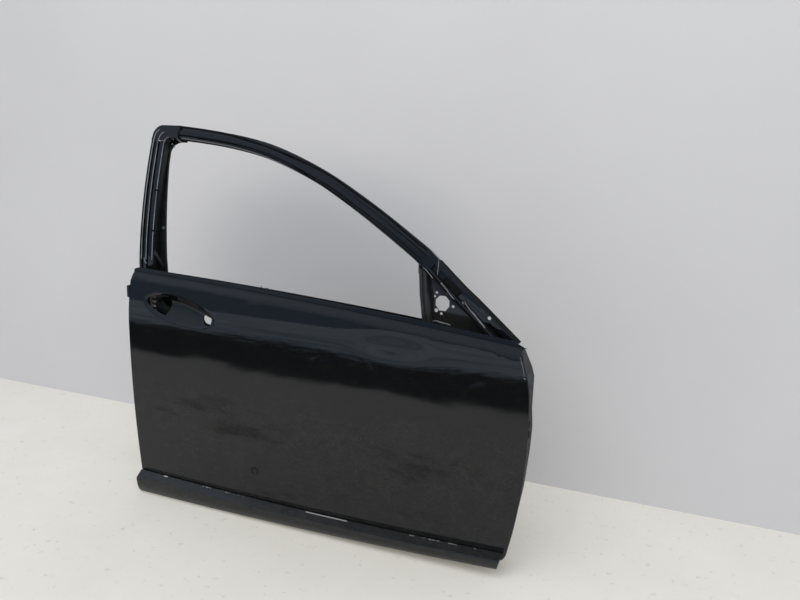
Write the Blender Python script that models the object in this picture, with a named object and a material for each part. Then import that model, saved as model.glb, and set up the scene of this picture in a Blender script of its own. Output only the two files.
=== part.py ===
"""Right front door shell of a large saloon: skin, inner pan, window frame and the stampings between them.

Door axes while modelling: X forward from the skin's rear edge, Y inwards from the skin's widest
line, Z up from the sill moulding's lowest edge. At the end everything hangs from one empty that
puts the origin on the upper hinge face.
"""

import math

import bmesh
import bpy
from mathutils import Matrix, Vector
from mathutils.geometry import delaunay_2d_cdt

# Driving sizes of the door, in metres
DOOR_LENGTH = 1.166
BELT_REAR_Z = 0.687
BELT_FALL = 0.031
BELT_CURVE = 0.041
FRAME_TOP_Z = 1.083
INNER_Y = 0.121
GAP = 0.0003

# How near two points or a point and a line lie to count as one
SAME_POINT = 1e-6
SAME_LINE = 1e-7

# Sheet thicknesses
SKIN_SHEET = 0.0009
PAN_SHEET = 0.0012
FRAME_SHEET = 0.0012
PLATE_SHEET = 0.0030
BRACKET_SHEET = 0.0015

# Section of the skin
WAIST_Z = 0.500
SHOULDER_Z = 0.520
LOWER_TUCK = 0.036
SHOULDER_TUCK = 0.025
PLAN_CROWN = 0.006
ROLL_DEPTH = 0.011
ROLL_HEIGHT = 0.010
BELT_FLANGE = 0.012

# Front edge of the skin
FRONT_BULGE_Z = 0.400
FRONT_TOP_DROP = 0.038
FRONT_FOOT_DROP = 0.055

# Rim, hem and flange
REAR_CORNER = 0.022
FRONT_CORNER = 0.026
HEM_BAND = 0.014
FRONT_BAND = 0.0095
HEM_BACK = 0.0025
FOLD_OUT = 0.0008
RIM_CLEAR = 0.0016
TOP_CORNER_DROP = 0.005
HEM_LIFT = 0.010
WALL_DRAFT = 0.003

# Dent in the shoulder
DENT_SETBACK = 0.351
DENT_X = DOOR_LENGTH - DENT_SETBACK
DENT_Z = 0.568
DENT_DEPTH = 0.0055
DENT_LENGTH = 0.085
DENT_HEIGHT = 0.026

# Pull-handle recess
RECESS_X = 0.174
RECESS_Z = 0.585
RECESS_HALF_LENGTH = 0.1205
RECESS_HALF_HEIGHT = 0.0405
RECESS_DEPTH = 0.026
RECESS_TILT = math.radians(-8.8)
RECESS_UPPER_SHARE = 0.35
RECESS_WALL_SHARE = 0.75
REAR_OPENING_SHARE = 0.95
REAR_OPENING_HEIGHT_SHARE = 0.82
REAR_OPENING_HALF_TURN = math.radians(65)
REAR_OPENING_BULGE = 0.007
FRONT_HOLE_SHARE = 0.747
FRONT_HOLE_X = FRONT_HOLE_SHARE * RECESS_HALF_LENGTH
FRONT_HOLE_Z = -0.006
FRONT_HOLE_HALF_LENGTH = 0.0155
FRONT_HOLE_HALF_HEIGHT = 0.0115

# Sill moulding
MOULDING_SHEET = 0.0025
LEDGE_END_Z = 0.066
LEDGE_SAG = 0.008
MOULDING_RISE = 0.026
MOULDING_REACH = 0.026
MOULDING_START = 0.0012
MOULDING_SETBACK = 0.047
MOULDING_END = DOOR_LENGTH - MOULDING_SETBACK
MOULDING_SLANT = 0.011
CLIP_RADIUS = 0.005
CLIP_COUNT = 7

# Section of the moulding: reach out from the skin and height from foot to ledge
MOULDING_SECTION_SHARES = ((0.0, 1.0), (0.93, 0.77), (1.0, 0.70), (0.98, 0.40), (0.86, 0.18),
                           (0.62, 0.03), (0.35, 0.0), (0.10, 0.04))

CLIP_SHARES = (0.99, 0.55)

# Window frame
FRAME_FOOT_Y = 0.070
FRAME_FOOT_Z = 0.700
FRAME_LEAN_SHARE = 0.10
GLASS_RADIUS = 0.96
HEADER_WIDTH = 0.034
HEADER_FRONT_WIDTH = 0.045
HEADER_DEPTH = 0.026
CORNER_RADIUS = 0.028
GUSSET_RADIUS = 0.028

# Rear frame pillar
PILLAR_X = -0.008
PILLAR_SWEEP = 0.015
PILLAR_WIDTH = 0.047
PILLAR_DEPTH = 0.030
PILLAR_TOP_DROP = 0.043
PILLAR_TOP_Z = FRAME_TOP_Z - PILLAR_TOP_DROP
LEG_FOOT_WIDTH = 0.028
LEG_TOP_WIDTH = 0.003
LEG_TOP_DROP = 0.050
LEG_TOP_Z = PILLAR_TOP_Z - LEG_TOP_DROP
GUIDE_FOOT_Z = 0.300

# Mirror corner, set back from the door's front end
POST_TOP_SETBACK = 0.320
POST_TOP_X = DOOR_LENGTH - POST_TOP_SETBACK
POST_FOOT_SETBACK = 0.297
POST_FOOT_X = DOOR_LENGTH - POST_FOOT_SETBACK
POST_TOP_Z = 0.745
POST_TOP_CLEAR = 0.004
POST_FOOT_Z = 0.600
POST_WIDTH = 0.022
POST_DEPTH = 0.026
MIRROR_PLATE_DEPTH = 0.018
MIRROR_PLATE_FOOT_Z = 0.560
MIRROR_HOLE_SETBACK = 0.252
MIRROR_HOLE_X = DOOR_LENGTH - MIRROR_HOLE_SETBACK
MIRROR_HOLE_Z = 0.676
MIRROR_HOLE_RADIUS = 0.0195
RAIL_TOP_SETBACK = 0.264
RAIL_TOP_X = DOOR_LENGTH - RAIL_TOP_SETBACK
RAIL_TOP_Z = 0.785
RAIL_SLOPE_SHARES = (0.76, -0.65)
RAIL_LENGTH = 0.283
RAIL_WIDTH = 0.043
RAIL_DEPTH = 0.030
PIN_HOLE_SETBACK = 0.125
PIN_HOLE_X = DOOR_LENGTH - PIN_HOLE_SETBACK
PIN_HOLE_Z = 0.656
PIN_HOLE_RADIUS = 0.0045
JOINT_LENGTH = 0.022
JOINT_RISE = 0.018

# Hinge, check and latch places on the pan
UPPER_HINGE_Z = 0.470
LOWER_HINGE_Z = 0.170
HINGE_PAD_HEIGHT = 0.084
PAD_SINK = 0.0015
PAD_KNEE = 0.004
PAD_COIN = 0.0002
HINGE_Y = 0.076
HINGE_BOLT_RADIUS = 0.0045
HINGE_BOLT_SPREAD = 0.052
CHECK_Z = 0.330
CHECK_HEIGHT = 0.050
LATCH_Z = 0.430
LATCH_HEIGHT = 0.120
LATCH_Y = 0.082
PLATE_DEPTH = 0.064

# Narrowing of the pan towards the hinge wall's top
NARROW_SETBACK = 0.146
NARROW_X = DOOR_LENGTH - NARROW_SETBACK
NARROW_Z = 0.505
NARROW_DEPTH = 0.040

# Openings in the pan
SPEAKER_SETBACK = 0.236
SPEAKER_X = DOOR_LENGTH - SPEAKER_SETBACK
SPEAKER_Z = 0.205
SPEAKER_RADIUS = 0.082
SHELF_WIDTH = 0.012
SHELF_STEP = 0.008
SHELF_SLOPE = 0.007

SERVICE_CORNER = 0.030
PAN_DROP = 0.024
PAN_LIP = 0.006
ACCESS_HOLE_RADIUS = 0.016

# Corners of the service opening: along the door and up to the belt
SERVICE_SHARES = ((0.107, 0.822), (0.107, 0.586), (0.176, 0.373), (0.532, 0.315),
                  (0.639, 0.483), (0.639, 0.740), (0.566, 0.790))
# Small openings: along, up, and half sizes as shares of the access hole's radius
ACCESS_HOLE_SHARES = ((0.062, 0.44, 1.0, 1.5), (0.070, 0.28, 1.1, 1.1), (0.820, 0.70, 2.5, 1.4),
                      (0.740, 0.59, 1.0, 1.0), (0.920, 0.61, 1.1, 1.6), (0.910, 0.19, 0.9, 0.9),
                      (0.257, 0.16, 2.5, 0.9), (0.480, 0.15, 2.5, 0.9), (0.755, 0.82, 0.8, 0.8))

# Beam and belt rails
BEAM_RADIUS = 0.0155
BEAM_WALL = 0.0022
BEAM_REAR_Z = 0.250
BEAM_FRONT_Z = 0.305
BEAM_END_INSET = 0.062
BEAM_CLEAR = 0.012
RAIL_HEIGHT = 0.060

# Grid of the skin
STATION_STEP = 0.055
RING_STEPS = 32

# Handle carrier, damping pads and small fixings
CARRIER_SHEET = 0.002
COMB_TEETH = 4
PAD_SHEET = 0.002
BUFFER_Z = 0.620
BUFFER_HEIGHT = 0.034
BUFFER_REACH = 0.0075
BUFFER_WIDTH = 0.012
SCREW_RADIUS = 0.0042
SCREW_HEIGHT = 0.0022
LOWER_SCREW_SHARE = 0.32
PLUG_RADIUS = 0.009
PLUG_HEIGHT = 0.0025

# Grid stations where each damping pad begins and ends, along the door and up it
PAD_STATIONS = ((3, 9, 2, 4), (10, 17, 2, 4), (4, 16, 7, 8))

# Sections of the frame's profiles: across their width and into their depth
HEADER_SECTION_SHARES = ((0.25, 1.0), (0.04, 0.92), (0.0, 0.36), (0.03, 0.24), (0.36, 0.18), (0.41, 0.0),
                         (0.47, 0.0), (0.76, 0.05), (0.81, 0.24), (0.89, 0.24), (0.94, 0.10), (1.0, 0.16),
                         (1.0, 0.50))
CHANNEL_START_SHARE = 0.52
PILLAR_SECTION_SHARES = ((0.03, 1.0), (0.0, 0.10), (0.03, 0.0), (0.16, 0.0), (0.21, 0.18), (0.30, 0.18),
                         (0.35, 0.0), (0.50, 0.0), (0.55, 0.18), (0.64, 0.18), (0.69, 0.0), (0.95, 0.0),
                         (1.0, 0.10), (1.0, 0.55))
RAIL_SECTION_SHARES = ((0.12, 1.0), (0.03, 0.90), (0.0, 0.30), (0.03, 0.04), (0.10, 0.0), (0.34, 0.0),
                       (0.42, 0.26), (0.68, 0.26), (0.76, 0.0), (0.84, -0.05), (0.90, 0.06), (0.95, -0.03),
                       (1.0, 0.06))
POST_SECTION_SHARES = ((0.0, 1.0), (0.0, 0.12), (0.10, 0.0), (0.38, 0.0), (0.46, 0.12), (0.62, 0.12),
                       (0.70, 0.0), (0.92, 0.0), (1.0, 0.10))

# Small holes round the mirror's hole: place and radius as shares of its radius
SMALL_HOLE_SHARES = ((-0.82, 1.33, 0.20), (-1.05, 0.78, 0.15), (-0.80, -1.05, 0.26), (-0.10, -1.42, 0.18),
                     (1.44, -0.31, 0.20))

# The header's outer edge: shares of its length and of its rise over its front end
HEADER_X_SHARES = (0.0, 0.075, 0.189, 0.306, 0.422, 0.535, 0.648, 0.757, 0.860, 0.961, 1.0)
HEADER_Z_SHARES = (1.003, 1.000, 0.978, 0.938, 0.871, 0.763, 0.624, 0.455, 0.275, 0.082, 0.001)


def lerp(a, b, t):
    return a + (b - a) * t


def clamp(t):
    return min(max(t, 0.0), 1.0)


def smoothstep(t):
    t = clamp(t)
    return t * t * (3.0 - 2.0 * t)


def spaced(start, end, step):
    """Even stations from start to end, no further apart than step."""
    count = max(1, math.ceil(abs(end - start) / step - SAME_POINT))
    return [lerp(start, end, i / count) for i in range(count + 1)]


def with_marks(stations, marks):
    """Stations with the marks put in, and the ones that crowd a mark taken out."""
    clear = STATION_STEP / 4
    kept = [s for s in stations[1:-1] if all(abs(s - m) > clear for m in marks)]
    rising = stations[0] < stations[-1]
    return sorted([stations[0], stations[-1], *kept, *marks], reverse=not rising)


def round_corner(before, corner, after, steps=5):
    """Points of an arc between two edges that meet in a corner, both ends left out."""
    start, corner, end = Vector(before), Vector(corner), Vector(after)
    pull = math.sin((start - corner).angle(end - corner) / 2)
    points = []
    for i in range(1, steps):
        t = i / steps
        shares = ((1.0 - t) ** 2, 2.0 * t * (1.0 - t) * pull, t * t)
        place = start * shares[0] + corner * shares[1] + end * shares[2]
        points.append(tuple(place / sum(shares)))
    return points


def rounded(corners, radius, steps=5):
    """A closed outline with every corner rounded."""
    loop = []
    for i, corner in enumerate(corners):
        here = Vector(corner)
        last = Vector(corners[i - 1])
        after = Vector(corners[(i + 1) % len(corners)])
        start = here + (last - here).normalized() * radius
        end = here + (after - here).normalized() * radius
        loop.append(tuple(start))
        loop += round_corner(start, here, end, steps)
        loop.append(tuple(end))
    return loop


def ring(x, z, half_length, half_height, steps, start=0.0):
    """A closed ellipse in the side view."""
    turns = [start + math.tau * i / steps for i in range(steps)]
    return [(x + half_length * math.cos(t), z + half_height * math.sin(t)) for t in turns]


def inset(path, widths, closed=False):
    """A path moved to its left by a width, or by one width for each point."""
    count = len(path)
    if not isinstance(widths, list):
        widths = [widths] * count
    moved = []
    for i in range(count):
        here = Vector(path[i])
        last = Vector(path[i - 1]) if i or closed else None
        after = Vector(path[(i + 1) % count]) if i < count - 1 or closed else None
        sides = [(here - last)] if last is not None else []
        sides += [(after - here)] if after is not None else []
        normals = [Vector((-s.y, s.x)).normalized() for s in sides]
        middle = sum(normals, Vector((0.0, 0.0))).normalized()
        moved.append(tuple(here + middle * (widths[i] / middle.dot(normals[0]))))
    return moved


def smooth_path(points, steps):
    """Points along a curve through the given ones, with the curve's direction at each."""
    ends = [Vector(p) for p in points]
    first = ends[0] * 2 - ends[1]
    last = ends[-1] * 2 - ends[-2]
    knots = [first, *ends, last]
    samples = []
    for i in range(1, len(knots) - 2):
        a, b, c, d = knots[i - 1:i + 3]
        for j in range(steps):
            samples.append(curve_sample(a, b, c, d, j / steps))
    samples.append((ends[-1], (last - ends[-1]).normalized()))
    return samples


def curve_sample(a, b, c, d, t):
    """Place and direction at t between b and c on a Catmull-Rom curve."""
    k1 = (c - a) * 0.5
    k2 = a - b * 2.5 + c * 2 - d * 0.5
    k3 = (d - a) * 0.5 + (b - c) * 1.5
    place = b + k1 * t + k2 * t * t + k3 * t ** 3
    return place, (k1 + k2 * 2 * t + k3 * 3 * t * t).normalized()


def belt_z(x):
    """Height of the skin's top flange."""
    t = x / DOOR_LENGTH
    return BELT_REAR_Z - BELT_FALL * t - BELT_CURVE * t * t


BELT_FRONT_Z = belt_z(DOOR_LENGTH)


def hem_top_z(x):
    """Height at which the hem starts below the belt's roll."""
    return belt_z(x) - BELT_FLANGE - ROLL_HEIGHT


def front_x(z):
    """The skin's front edge in the side view."""
    if z > FRONT_BULGE_Z:
        rise = (z - FRONT_BULGE_Z) / (BELT_FRONT_Z - FRONT_BULGE_Z)
        return DOOR_LENGTH - FRONT_TOP_DROP * rise ** 3
    fall = (FRONT_BULGE_Z - z) / FRONT_BULGE_Z
    return DOOR_LENGTH - FRONT_FOOT_DROP * fall ** 2


def moulding_z(x):
    """Lower edge of the sill moulding."""
    return MOULDING_RISE * (x / DOOR_LENGTH) ** 2


def bottom_z(x):
    """Lower edge of the skin."""
    return moulding_z(x) + HEM_LIFT


def ledge_z(x):
    """Height of the ledge on top of the sill moulding."""
    half = DOOR_LENGTH / 2
    return LEDGE_END_Z - LEDGE_SAG * (1.0 - ((x - half) / half) ** 2)


def recess_place(a, b):
    """From the recess's own axes to the side view."""
    turned = Vector((a, b)) @ Matrix.Rotation(-RECESS_TILT, 2)
    return (RECESS_X + turned.x, RECESS_Z + turned.y)


def recess_local(x, z):
    """From the side view to the recess's own axes, as shares of its half sizes."""
    turned = Vector((x - RECESS_X, z - RECESS_Z)) @ Matrix.Rotation(RECESS_TILT, 2)
    return turned.x / RECESS_HALF_LENGTH, turned.y / RECESS_HALF_HEIGHT


def recess_y(x, z):
    """Depth of the hand recess, deeper towards its upper lip."""
    a, b = recess_local(x, z)
    inside = max(1.0 - a * a - b * b, 0.0)
    return RECESS_DEPTH * inside ** RECESS_WALL_SHARE * (1.0 + RECESS_UPPER_SHARE * b)


def dent_y(x, z):
    across = ((x - DENT_X) / DENT_LENGTH) ** 2
    along = ((z - DENT_Z) / DENT_HEIGHT) ** 2
    return DENT_DEPTH * math.exp(-across - along)


def skin_y(x, z):
    """The skin's outer face: how far inwards it lies from its widest line."""
    half = DOOR_LENGTH / 2
    y = PLAN_CROWN * ((x - half) / half) ** 2
    y += LOWER_TUCK * (max(WAIST_Z - z, 0.0) / WAIST_Z) ** 2
    y += SHOULDER_TUCK * (max(z - SHOULDER_Z, 0.0) / (BELT_REAR_Z - SHOULDER_Z)) ** 2
    y += ROLL_DEPTH * smoothstep((z - hem_top_z(x)) / ROLL_HEIGHT)
    return y + dent_y(x, z) + recess_y(x, z)


def frame_y(z):
    """The window frame's outer face, which leans and curves in above the belt."""
    rise = max(z - FRAME_FOOT_Z, 0.0)
    return FRAME_FOOT_Y + FRAME_LEAN_SHARE * rise + rise * rise / (2 * GLASS_RADIUS)


def frame_normal(z):
    """Direction straight in from the window frame's outer face."""
    rise = z - FRAME_FOOT_Z
    slope = FRAME_LEAN_SHARE + rise / GLASS_RADIUS if rise > 0 else 0.0
    return Vector((0.0, 1.0, -slope)).normalized()


def pillar_x(z):
    """Rear edge of the frame pillar."""
    rise = max(z - FRAME_FOOT_Z, 0.0) / (PILLAR_TOP_Z - FRAME_FOOT_Z)
    return PILLAR_X - PILLAR_SWEEP * rise * rise


def leg_width(z):
    """Width of the glass channel's inner leg beside the window opening."""
    rise = clamp((z - BELT_REAR_Z) / (LEG_TOP_Z - BELT_REAR_Z))
    return lerp(LEG_FOOT_WIDTH, LEG_TOP_WIDTH, rise)


class Sheet:
    """An open surface made of rows of points, which a wall thickness turns into a solid."""

    def __init__(self):
        self.points = []
        self.faces = []

    def row(self, points):
        start = len(self.points)
        self.points += [Vector(p) for p in points]
        return list(range(start, len(self.points)))

    def bridge(self, a, b, closed=False):
        count = len(a)
        for i in range(count if closed else count - 1):
            j = (i + 1) % count
            self.faces.append((a[i], a[j], b[j], b[i]))

    def grid(self, rows):
        rows = [self.row(r) for r in rows]
        for a, b in zip(rows, rows[1:]):
            self.bridge(a, b)
        return rows

    def flat(self, index, axes):
        point = self.points[index]
        return Vector((point[axes[0]], point[axes[1]]))

    def fill(self, loop, holes=(), inner=(), axes=(0, 2)):
        """Triangles between a loop and its holes, through the inner points."""
        used = [*loop, *[i for hole in holes for i in hole], *inner]
        order = {index: place for place, index in enumerate(used)}
        edges = []
        for outline in (loop, *holes):
            edges += [(order[a], order[b]) for a, b in zip(outline, [*outline[1:], outline[0]])]
        flat = [self.flat(i, axes) for i in used]
        places, _, faces, origin, _, _ = delaunay_2d_cdt(flat, edges, [], 1, SAME_LINE)
        for face in faces:
            middle = sum((places[i] for i in face), Vector((0.0, 0.0))) / len(face)
            outline = [self.flat(i, axes) for i in loop]
            if not inside(middle, outline):
                continue
            if any(inside(middle, [self.flat(i, axes) for i in hole]) for hole in holes):
                continue
            self.faces.append(tuple(used[origin[i][0]] for i in face))


def inside(point, outline):
    """Whether a point lies within a closed outline."""
    count = 0
    for a, b in zip(outline, [*outline[1:], outline[0]]):
        if (a.y > point.y) != (b.y > point.y):
            cross = a.x + (point.y - a.y) * (b.x - a.x) / (b.y - a.y)
            count += point.x < cross
    return count % 2 == 1


def finish(name, look):
    """A Principled material of the part's own."""
    colour, roughness, metallic = look
    material = bpy.data.materials.new(name + "_finish")
    material.use_nodes = True
    shader = material.node_tree.nodes["Principled BSDF"]
    shader.inputs["Base Color"].default_value = (*colour, 1.0)
    shader.inputs["Roughness"].default_value = roughness
    shader.inputs["Metallic"].default_value = metallic
    material.diffuse_color = (*colour, 1.0)
    return material


GLOSS_PAINT = ((0.010, 0.011, 0.012), 0.10, 0.0)
INNER_PAINT = ((0.014, 0.015, 0.016), 0.30, 0.0)
PRIMED_STEEL = ((0.055, 0.058, 0.060), 0.55, 0.0)
BARE_STEEL = ((0.45, 0.45, 0.44), 0.35, 1.0)
PLASTIC = ((0.020, 0.020, 0.021), 0.50, 0.0)
RUBBER = ((0.012, 0.012, 0.012), 0.80, 0.0)
DAMPING = ((0.035, 0.034, 0.033), 0.90, 0.0)


def add_object(name, points, faces, look):
    """A named object on the door's empty."""
    mesh = bpy.data.meshes.new(name)
    mesh.from_pydata([tuple(p) for p in points], [], faces)
    model = bmesh.new()
    model.from_mesh(mesh)
    bmesh.ops.remove_doubles(model, verts=model.verts, dist=SAME_POINT)
    bmesh.ops.dissolve_degenerate(model, edges=model.edges, dist=SAME_LINE)
    loose = [v for v in model.verts if not v.link_faces]
    bmesh.ops.delete(model, geom=loose, context="VERTS")
    bmesh.ops.recalc_face_normals(model, faces=model.faces)
    model.to_mesh(mesh)
    model.free()
    mesh.materials.append(finish(name, look))
    thing = bpy.data.objects.new(name, mesh)
    bpy.context.scene.collection.objects.link(thing)
    thing.parent = DOOR
    return thing


def sheet_object(name, sheet, thickness, look, side=0.0):
    """A sheet with its wall: side 0 puts the sheet's points in the middle of the wall."""
    thing = add_object(name, sheet.points, sheet.faces, look)
    wall = thing.modifiers.new("wall", "SOLIDIFY")
    wall.thickness = thickness
    wall.offset = side
    wall.use_even_offset = True
    wall.use_quality_normals = True
    return thing


def smooth(thing, angle=35):
    thing.data.shade_smooth()
    thing.data.set_sharp_from_angle(angle=math.radians(angle))
    return thing


def join_cut(thing, cutters, name):
    """Cuts the shapes of a hidden cutter object out of a part."""
    points, faces = [], []
    for cutter_points, cutter_faces in cutters:
        start = len(points)
        points += cutter_points
        faces += [tuple(i + start for i in face) for face in cutter_faces]
    guide = add_object(name, points, faces, PLASTIC)
    guide.hide_render = True
    guide.display_type = "WIRE"
    cut = thing.modifiers.new(name, "BOOLEAN")
    cut.operation = "DIFFERENCE"
    cut.object = guide
    return thing


def cylinder(start, end, radius, steps=12):
    """Points and faces of a closed cylinder between two places."""
    start, end = Vector(start), Vector(end)
    axis = (end - start).normalized()
    side = axis.orthogonal().normalized()
    other = axis.cross(side)
    points, faces = [], []
    for base in (start, end):
        for i in range(steps):
            turn = math.tau * i / steps
            points.append(base + (side * math.cos(turn) + other * math.sin(turn)) * radius)
    for i in range(steps):
        j = (i + 1) % steps
        faces.append((i, j, steps + j, steps + i))
    faces.append(tuple(reversed(range(steps))))
    faces.append(tuple(range(steps, 2 * steps)))
    return points, faces


def prism(outline, start, end, axis=1):
    """A closed outline of the side view, or of another plane, carried along an axis."""
    count = len(outline)
    points = []
    for level in (start, end):
        for a, b in outline:
            place = [a, b]
            place.insert(axis, level)
            points.append(Vector(place))
    faces = [tuple(range(count)), tuple(reversed(range(count, 2 * count)))]
    for i in range(count):
        j = (i + 1) % count
        faces.append((i, i + count, j + count, j))
    return points, faces


def solid_objects(names, solids, look):
    """A smooth object for each closed solid."""
    for name, (points, faces) in zip(names, solids):
        smooth(add_object(name, points, faces, look))


def rim_path():
    """Rim of the skin in the side view: down the rear, along the sill and up the front."""
    rear_foot = (0.0, bottom_z(0.0))
    front_foot = (front_x(bottom_z(DOOR_LENGTH)), bottom_z(DOOR_LENGTH))
    latch = [LATCH_Z + LATCH_HEIGHT / 2, LATCH_Z - LATCH_HEIGHT / 2]
    rear = with_marks(spaced(hem_top_z(0.0), rear_foot[1] + REAR_CORNER, STATION_STEP), latch)
    path = [(0.0, z) for z in rear]
    sill = [(x, bottom_z(x)) for x in spaced(REAR_CORNER, front_foot[0] - FRONT_CORNER, STATION_STEP)]
    path += round_corner(path[-1], rear_foot, sill[0]) + sill
    low = front_foot[1] + FRONT_CORNER
    front = with_marks(spaced(low, hem_top_z(DOOR_LENGTH), STATION_STEP), pad_marks())
    path += round_corner(sill[-1], front_foot, (front_x(low), low))
    return path + [(front_x(z), z) for z in front]


def pad_marks():
    """Heights where the flat places of the hinge wall begin and end."""
    half = HINGE_PAD_HEIGHT / 2
    pads = [LOWER_HINGE_Z - half, LOWER_HINGE_Z + half]
    pads += [CHECK_Z - CHECK_HEIGHT / 2, CHECK_Z + CHECK_HEIGHT / 2]
    return pads + [UPPER_HINGE_Z - half, UPPER_HINGE_Z + half]


def band_width(point):
    """Width of the hem flange at a place of the rim, narrower up the front edge."""
    x, z = point
    if x < DOOR_LENGTH / 2:
        return HEM_BAND
    rise = (z - bottom_z(x)) / (2 * FRONT_CORNER)
    return lerp(HEM_BAND, FRONT_BAND, smoothstep(rise))


def on_skin(path, depth):
    return [(x, skin_y(x, z) + depth, z) for x, z in path]


def recess_rings():
    """Rim of the hand recess, its two openings and the points of the bowl between them."""
    rim = [recess_place(a, b) for a, b in ring(0.0, 0.0, RECESS_HALF_LENGTH, RECESS_HALF_HEIGHT, RING_STEPS)]
    rear = rear_opening(REAR_OPENING_SHARE)
    front = [recess_place(a, b) for a, b in rounded(front_hole_corners(), FRONT_HOLE_HALF_HEIGHT / 3, 3)]
    bowl = []
    for share in (0.93, 0.80, 0.62, 0.42, 0.20):
        steps = max(6, round(RING_STEPS * share))
        bowl += ring(0.0, 0.0, RECESS_HALF_LENGTH * share, RECESS_HALF_HEIGHT * share, steps, share)
    bowl = [Vector(recess_place(a, b)) for a, b in bowl]
    clear = [inset(loop, -RECESS_HALF_HEIGHT / 10, True) for loop in (rear, front)]
    clear = [[Vector(p) for p in loop] for loop in clear]
    bowl = [tuple(p) for p in bowl if not any(inside(p, loop) for loop in clear)]
    return rim, rear, front, bowl


def rear_opening(share):
    """The opening for the handle's lever: the rear end of the bowl, with a bulging front edge."""
    turns = [math.pi + REAR_OPENING_HALF_TURN * (i / 6 - 1.0) for i in range(13)]
    loop = []
    for turn in turns:
        a = RECESS_HALF_LENGTH * share * math.cos(turn)
        b = RECESS_HALF_HEIGHT * REAR_OPENING_HEIGHT_SHARE * share * math.sin(turn)
        loop.append((a, b))
    start, end = Vector(loop[-1]), Vector(loop[0])
    for along in (0.2, 0.5, 0.8):
        bulge = REAR_OPENING_BULGE * 4 * along * (1.0 - along)
        loop.append(tuple(start.lerp(end, along) + Vector((bulge, 0.0))))
    return [recess_place(a, b) for a, b in loop]


def front_hole_corners():
    """The small hole for the handle's pivot, anticlockwise, with a notch in its rear lower side."""
    x0, x1 = FRONT_HOLE_X - FRONT_HOLE_HALF_LENGTH, FRONT_HOLE_X + FRONT_HOLE_HALF_LENGTH
    z0, z1 = FRONT_HOLE_Z - FRONT_HOLE_HALF_HEIGHT, FRONT_HOLE_Z + FRONT_HOLE_HALF_HEIGHT
    step = FRONT_HOLE_HALF_LENGTH / 2
    return [(x0 + step, z0), (x1, z0), (x1, z1), (x0, z1), (x0, FRONT_HOLE_Z)]


def skin_grid(border, recess):
    """Points of the skin's even grid inside its border and clear of the recess."""
    border = [Vector(p) for p in border]
    recess = [Vector(p) for p in recess]
    points = []
    for x in spaced(0.0, DOOR_LENGTH, STATION_STEP):
        for z in spaced(bottom_z(0.0), BELT_REAR_Z, STATION_STEP):
            place = Vector((x, z))
            if inside(place, border) and not inside(place, recess):
                points.append((x, z))
    for x in spaced(DENT_X - DENT_LENGTH, DENT_X + DENT_LENGTH, DENT_LENGTH / 3):
        for z in spaced(DENT_Z - DENT_HEIGHT, DENT_Z + DENT_HEIGHT, DENT_HEIGHT / 2):
            points.append((x, z))
    return points


def make_outer_panel():
    """The skin: hemmed round three sides, rolled and flanged at the belt, pressed in for the hand."""
    sheet = Sheet()
    middle = SKIN_SHEET / 2
    rim = rim_path()
    band = inset(rim, HEM_BAND)
    rim_row = sheet.row(on_skin(rim, middle))
    band_row = sheet.row(on_skin(band, middle))
    sheet.bridge(rim_row, band_row)
    hem_step = SKIN_SHEET + PAN_SHEET + 2 * GAP
    fold = sheet.row(on_skin(inset(rim, -FOLD_OUT), middle + hem_step / 2))
    back = sheet.row(on_skin(rim, middle + hem_step))
    hem = sheet.row(on_skin(inset(rim, [band_width(p) - HEM_BACK for p in rim]), middle + hem_step))
    for a, b in ((rim_row, fold), (fold, back), (back, hem)):
        sheet.bridge(a, b)
    rows = belt_rows()
    rows[0][:2] = [rim[0], band[0]]
    rows[0][-2:] = [band[-1], rim[-1]]
    belt = [sheet.row(on_skin(row, middle)) for row in rows]
    for a, b in zip(belt, belt[1:]):
        sheet.bridge(a, b)
    border = [*band_row, *reversed(belt[0][2:-2])]
    outline = [(sheet.points[i].x, sheet.points[i].z) for i in border]
    rim_loop, rear, front, bowl = recess_rings()
    recess = sheet.row(on_skin(rim_loop, middle))
    holes = [sheet.row(on_skin(loop, middle)) for loop in (rear, front)]
    clear = STATION_STEP / 4
    near = inset(rim_loop, -clear, True)
    near_row = sheet.row(on_skin(near, middle))
    grid = sheet.row(on_skin(skin_grid(inset(outline, clear, True), inset(near, -clear, True)), middle))
    sheet.fill(border, [recess], [*near_row, *grid])
    sheet.fill(recess, holes, sheet.row(on_skin(bowl, middle)))
    return smooth(sheet_object("outer_panel", sheet, SKIN_SHEET, GLOSS_PAINT), 50)


def belt_rows():
    """Rows of the skin from the hem's top over the roll to the flange's edge."""
    rows = []
    lifts = (0.0, ROLL_HEIGHT / 2, ROLL_HEIGHT, ROLL_HEIGHT + BELT_FLANGE)
    span = front_x(hem_top_z(DOOR_LENGTH)) - 2 * STATION_STEP
    shares = spaced(0.0, 1.0, STATION_STEP / span)
    for lift in lifts:
        end = front_x(hem_top_z(DOOR_LENGTH) + lift)
        stations = [0.0, HEM_BAND]
        stations += [lerp(STATION_STEP, end - STATION_STEP, share) for share in shares]
        stations += [end - HEM_BAND, end]
        rows.append([(x, hem_top_z(x) + lift) for x in stations])
    for i in (0, -1):
        x, z = rows[-1][i]
        rows[-1][i] = (x, z - TOP_CORNER_DROP)
    return rows


def hinge_face_x(pad, lift=0.0):
    """Flat place on the hinge wall: upright at the upper hinge, along the wall at the lower one."""
    half = HINGE_PAD_HEIGHT / 2
    ends = [front_x(pad - half), front_x(pad + half)]
    if pad == UPPER_HINGE_Z:
        return min(ends) - FRONT_BAND - PAD_SINK
    return lerp(*ends, (lift + half) / (2 * half)) - FRONT_BAND - PAD_SINK


def pan_y(x, z):
    """Depth of the pan's inner face, which narrows towards the hinge wall's top."""
    share = smoothstep((x - NARROW_X) / (DOOR_LENGTH - NARROW_X))
    return INNER_Y - NARROW_DEPTH * share * smoothstep((z - NARROW_Z) / (BELT_FRONT_Z - NARROW_Z))


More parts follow.
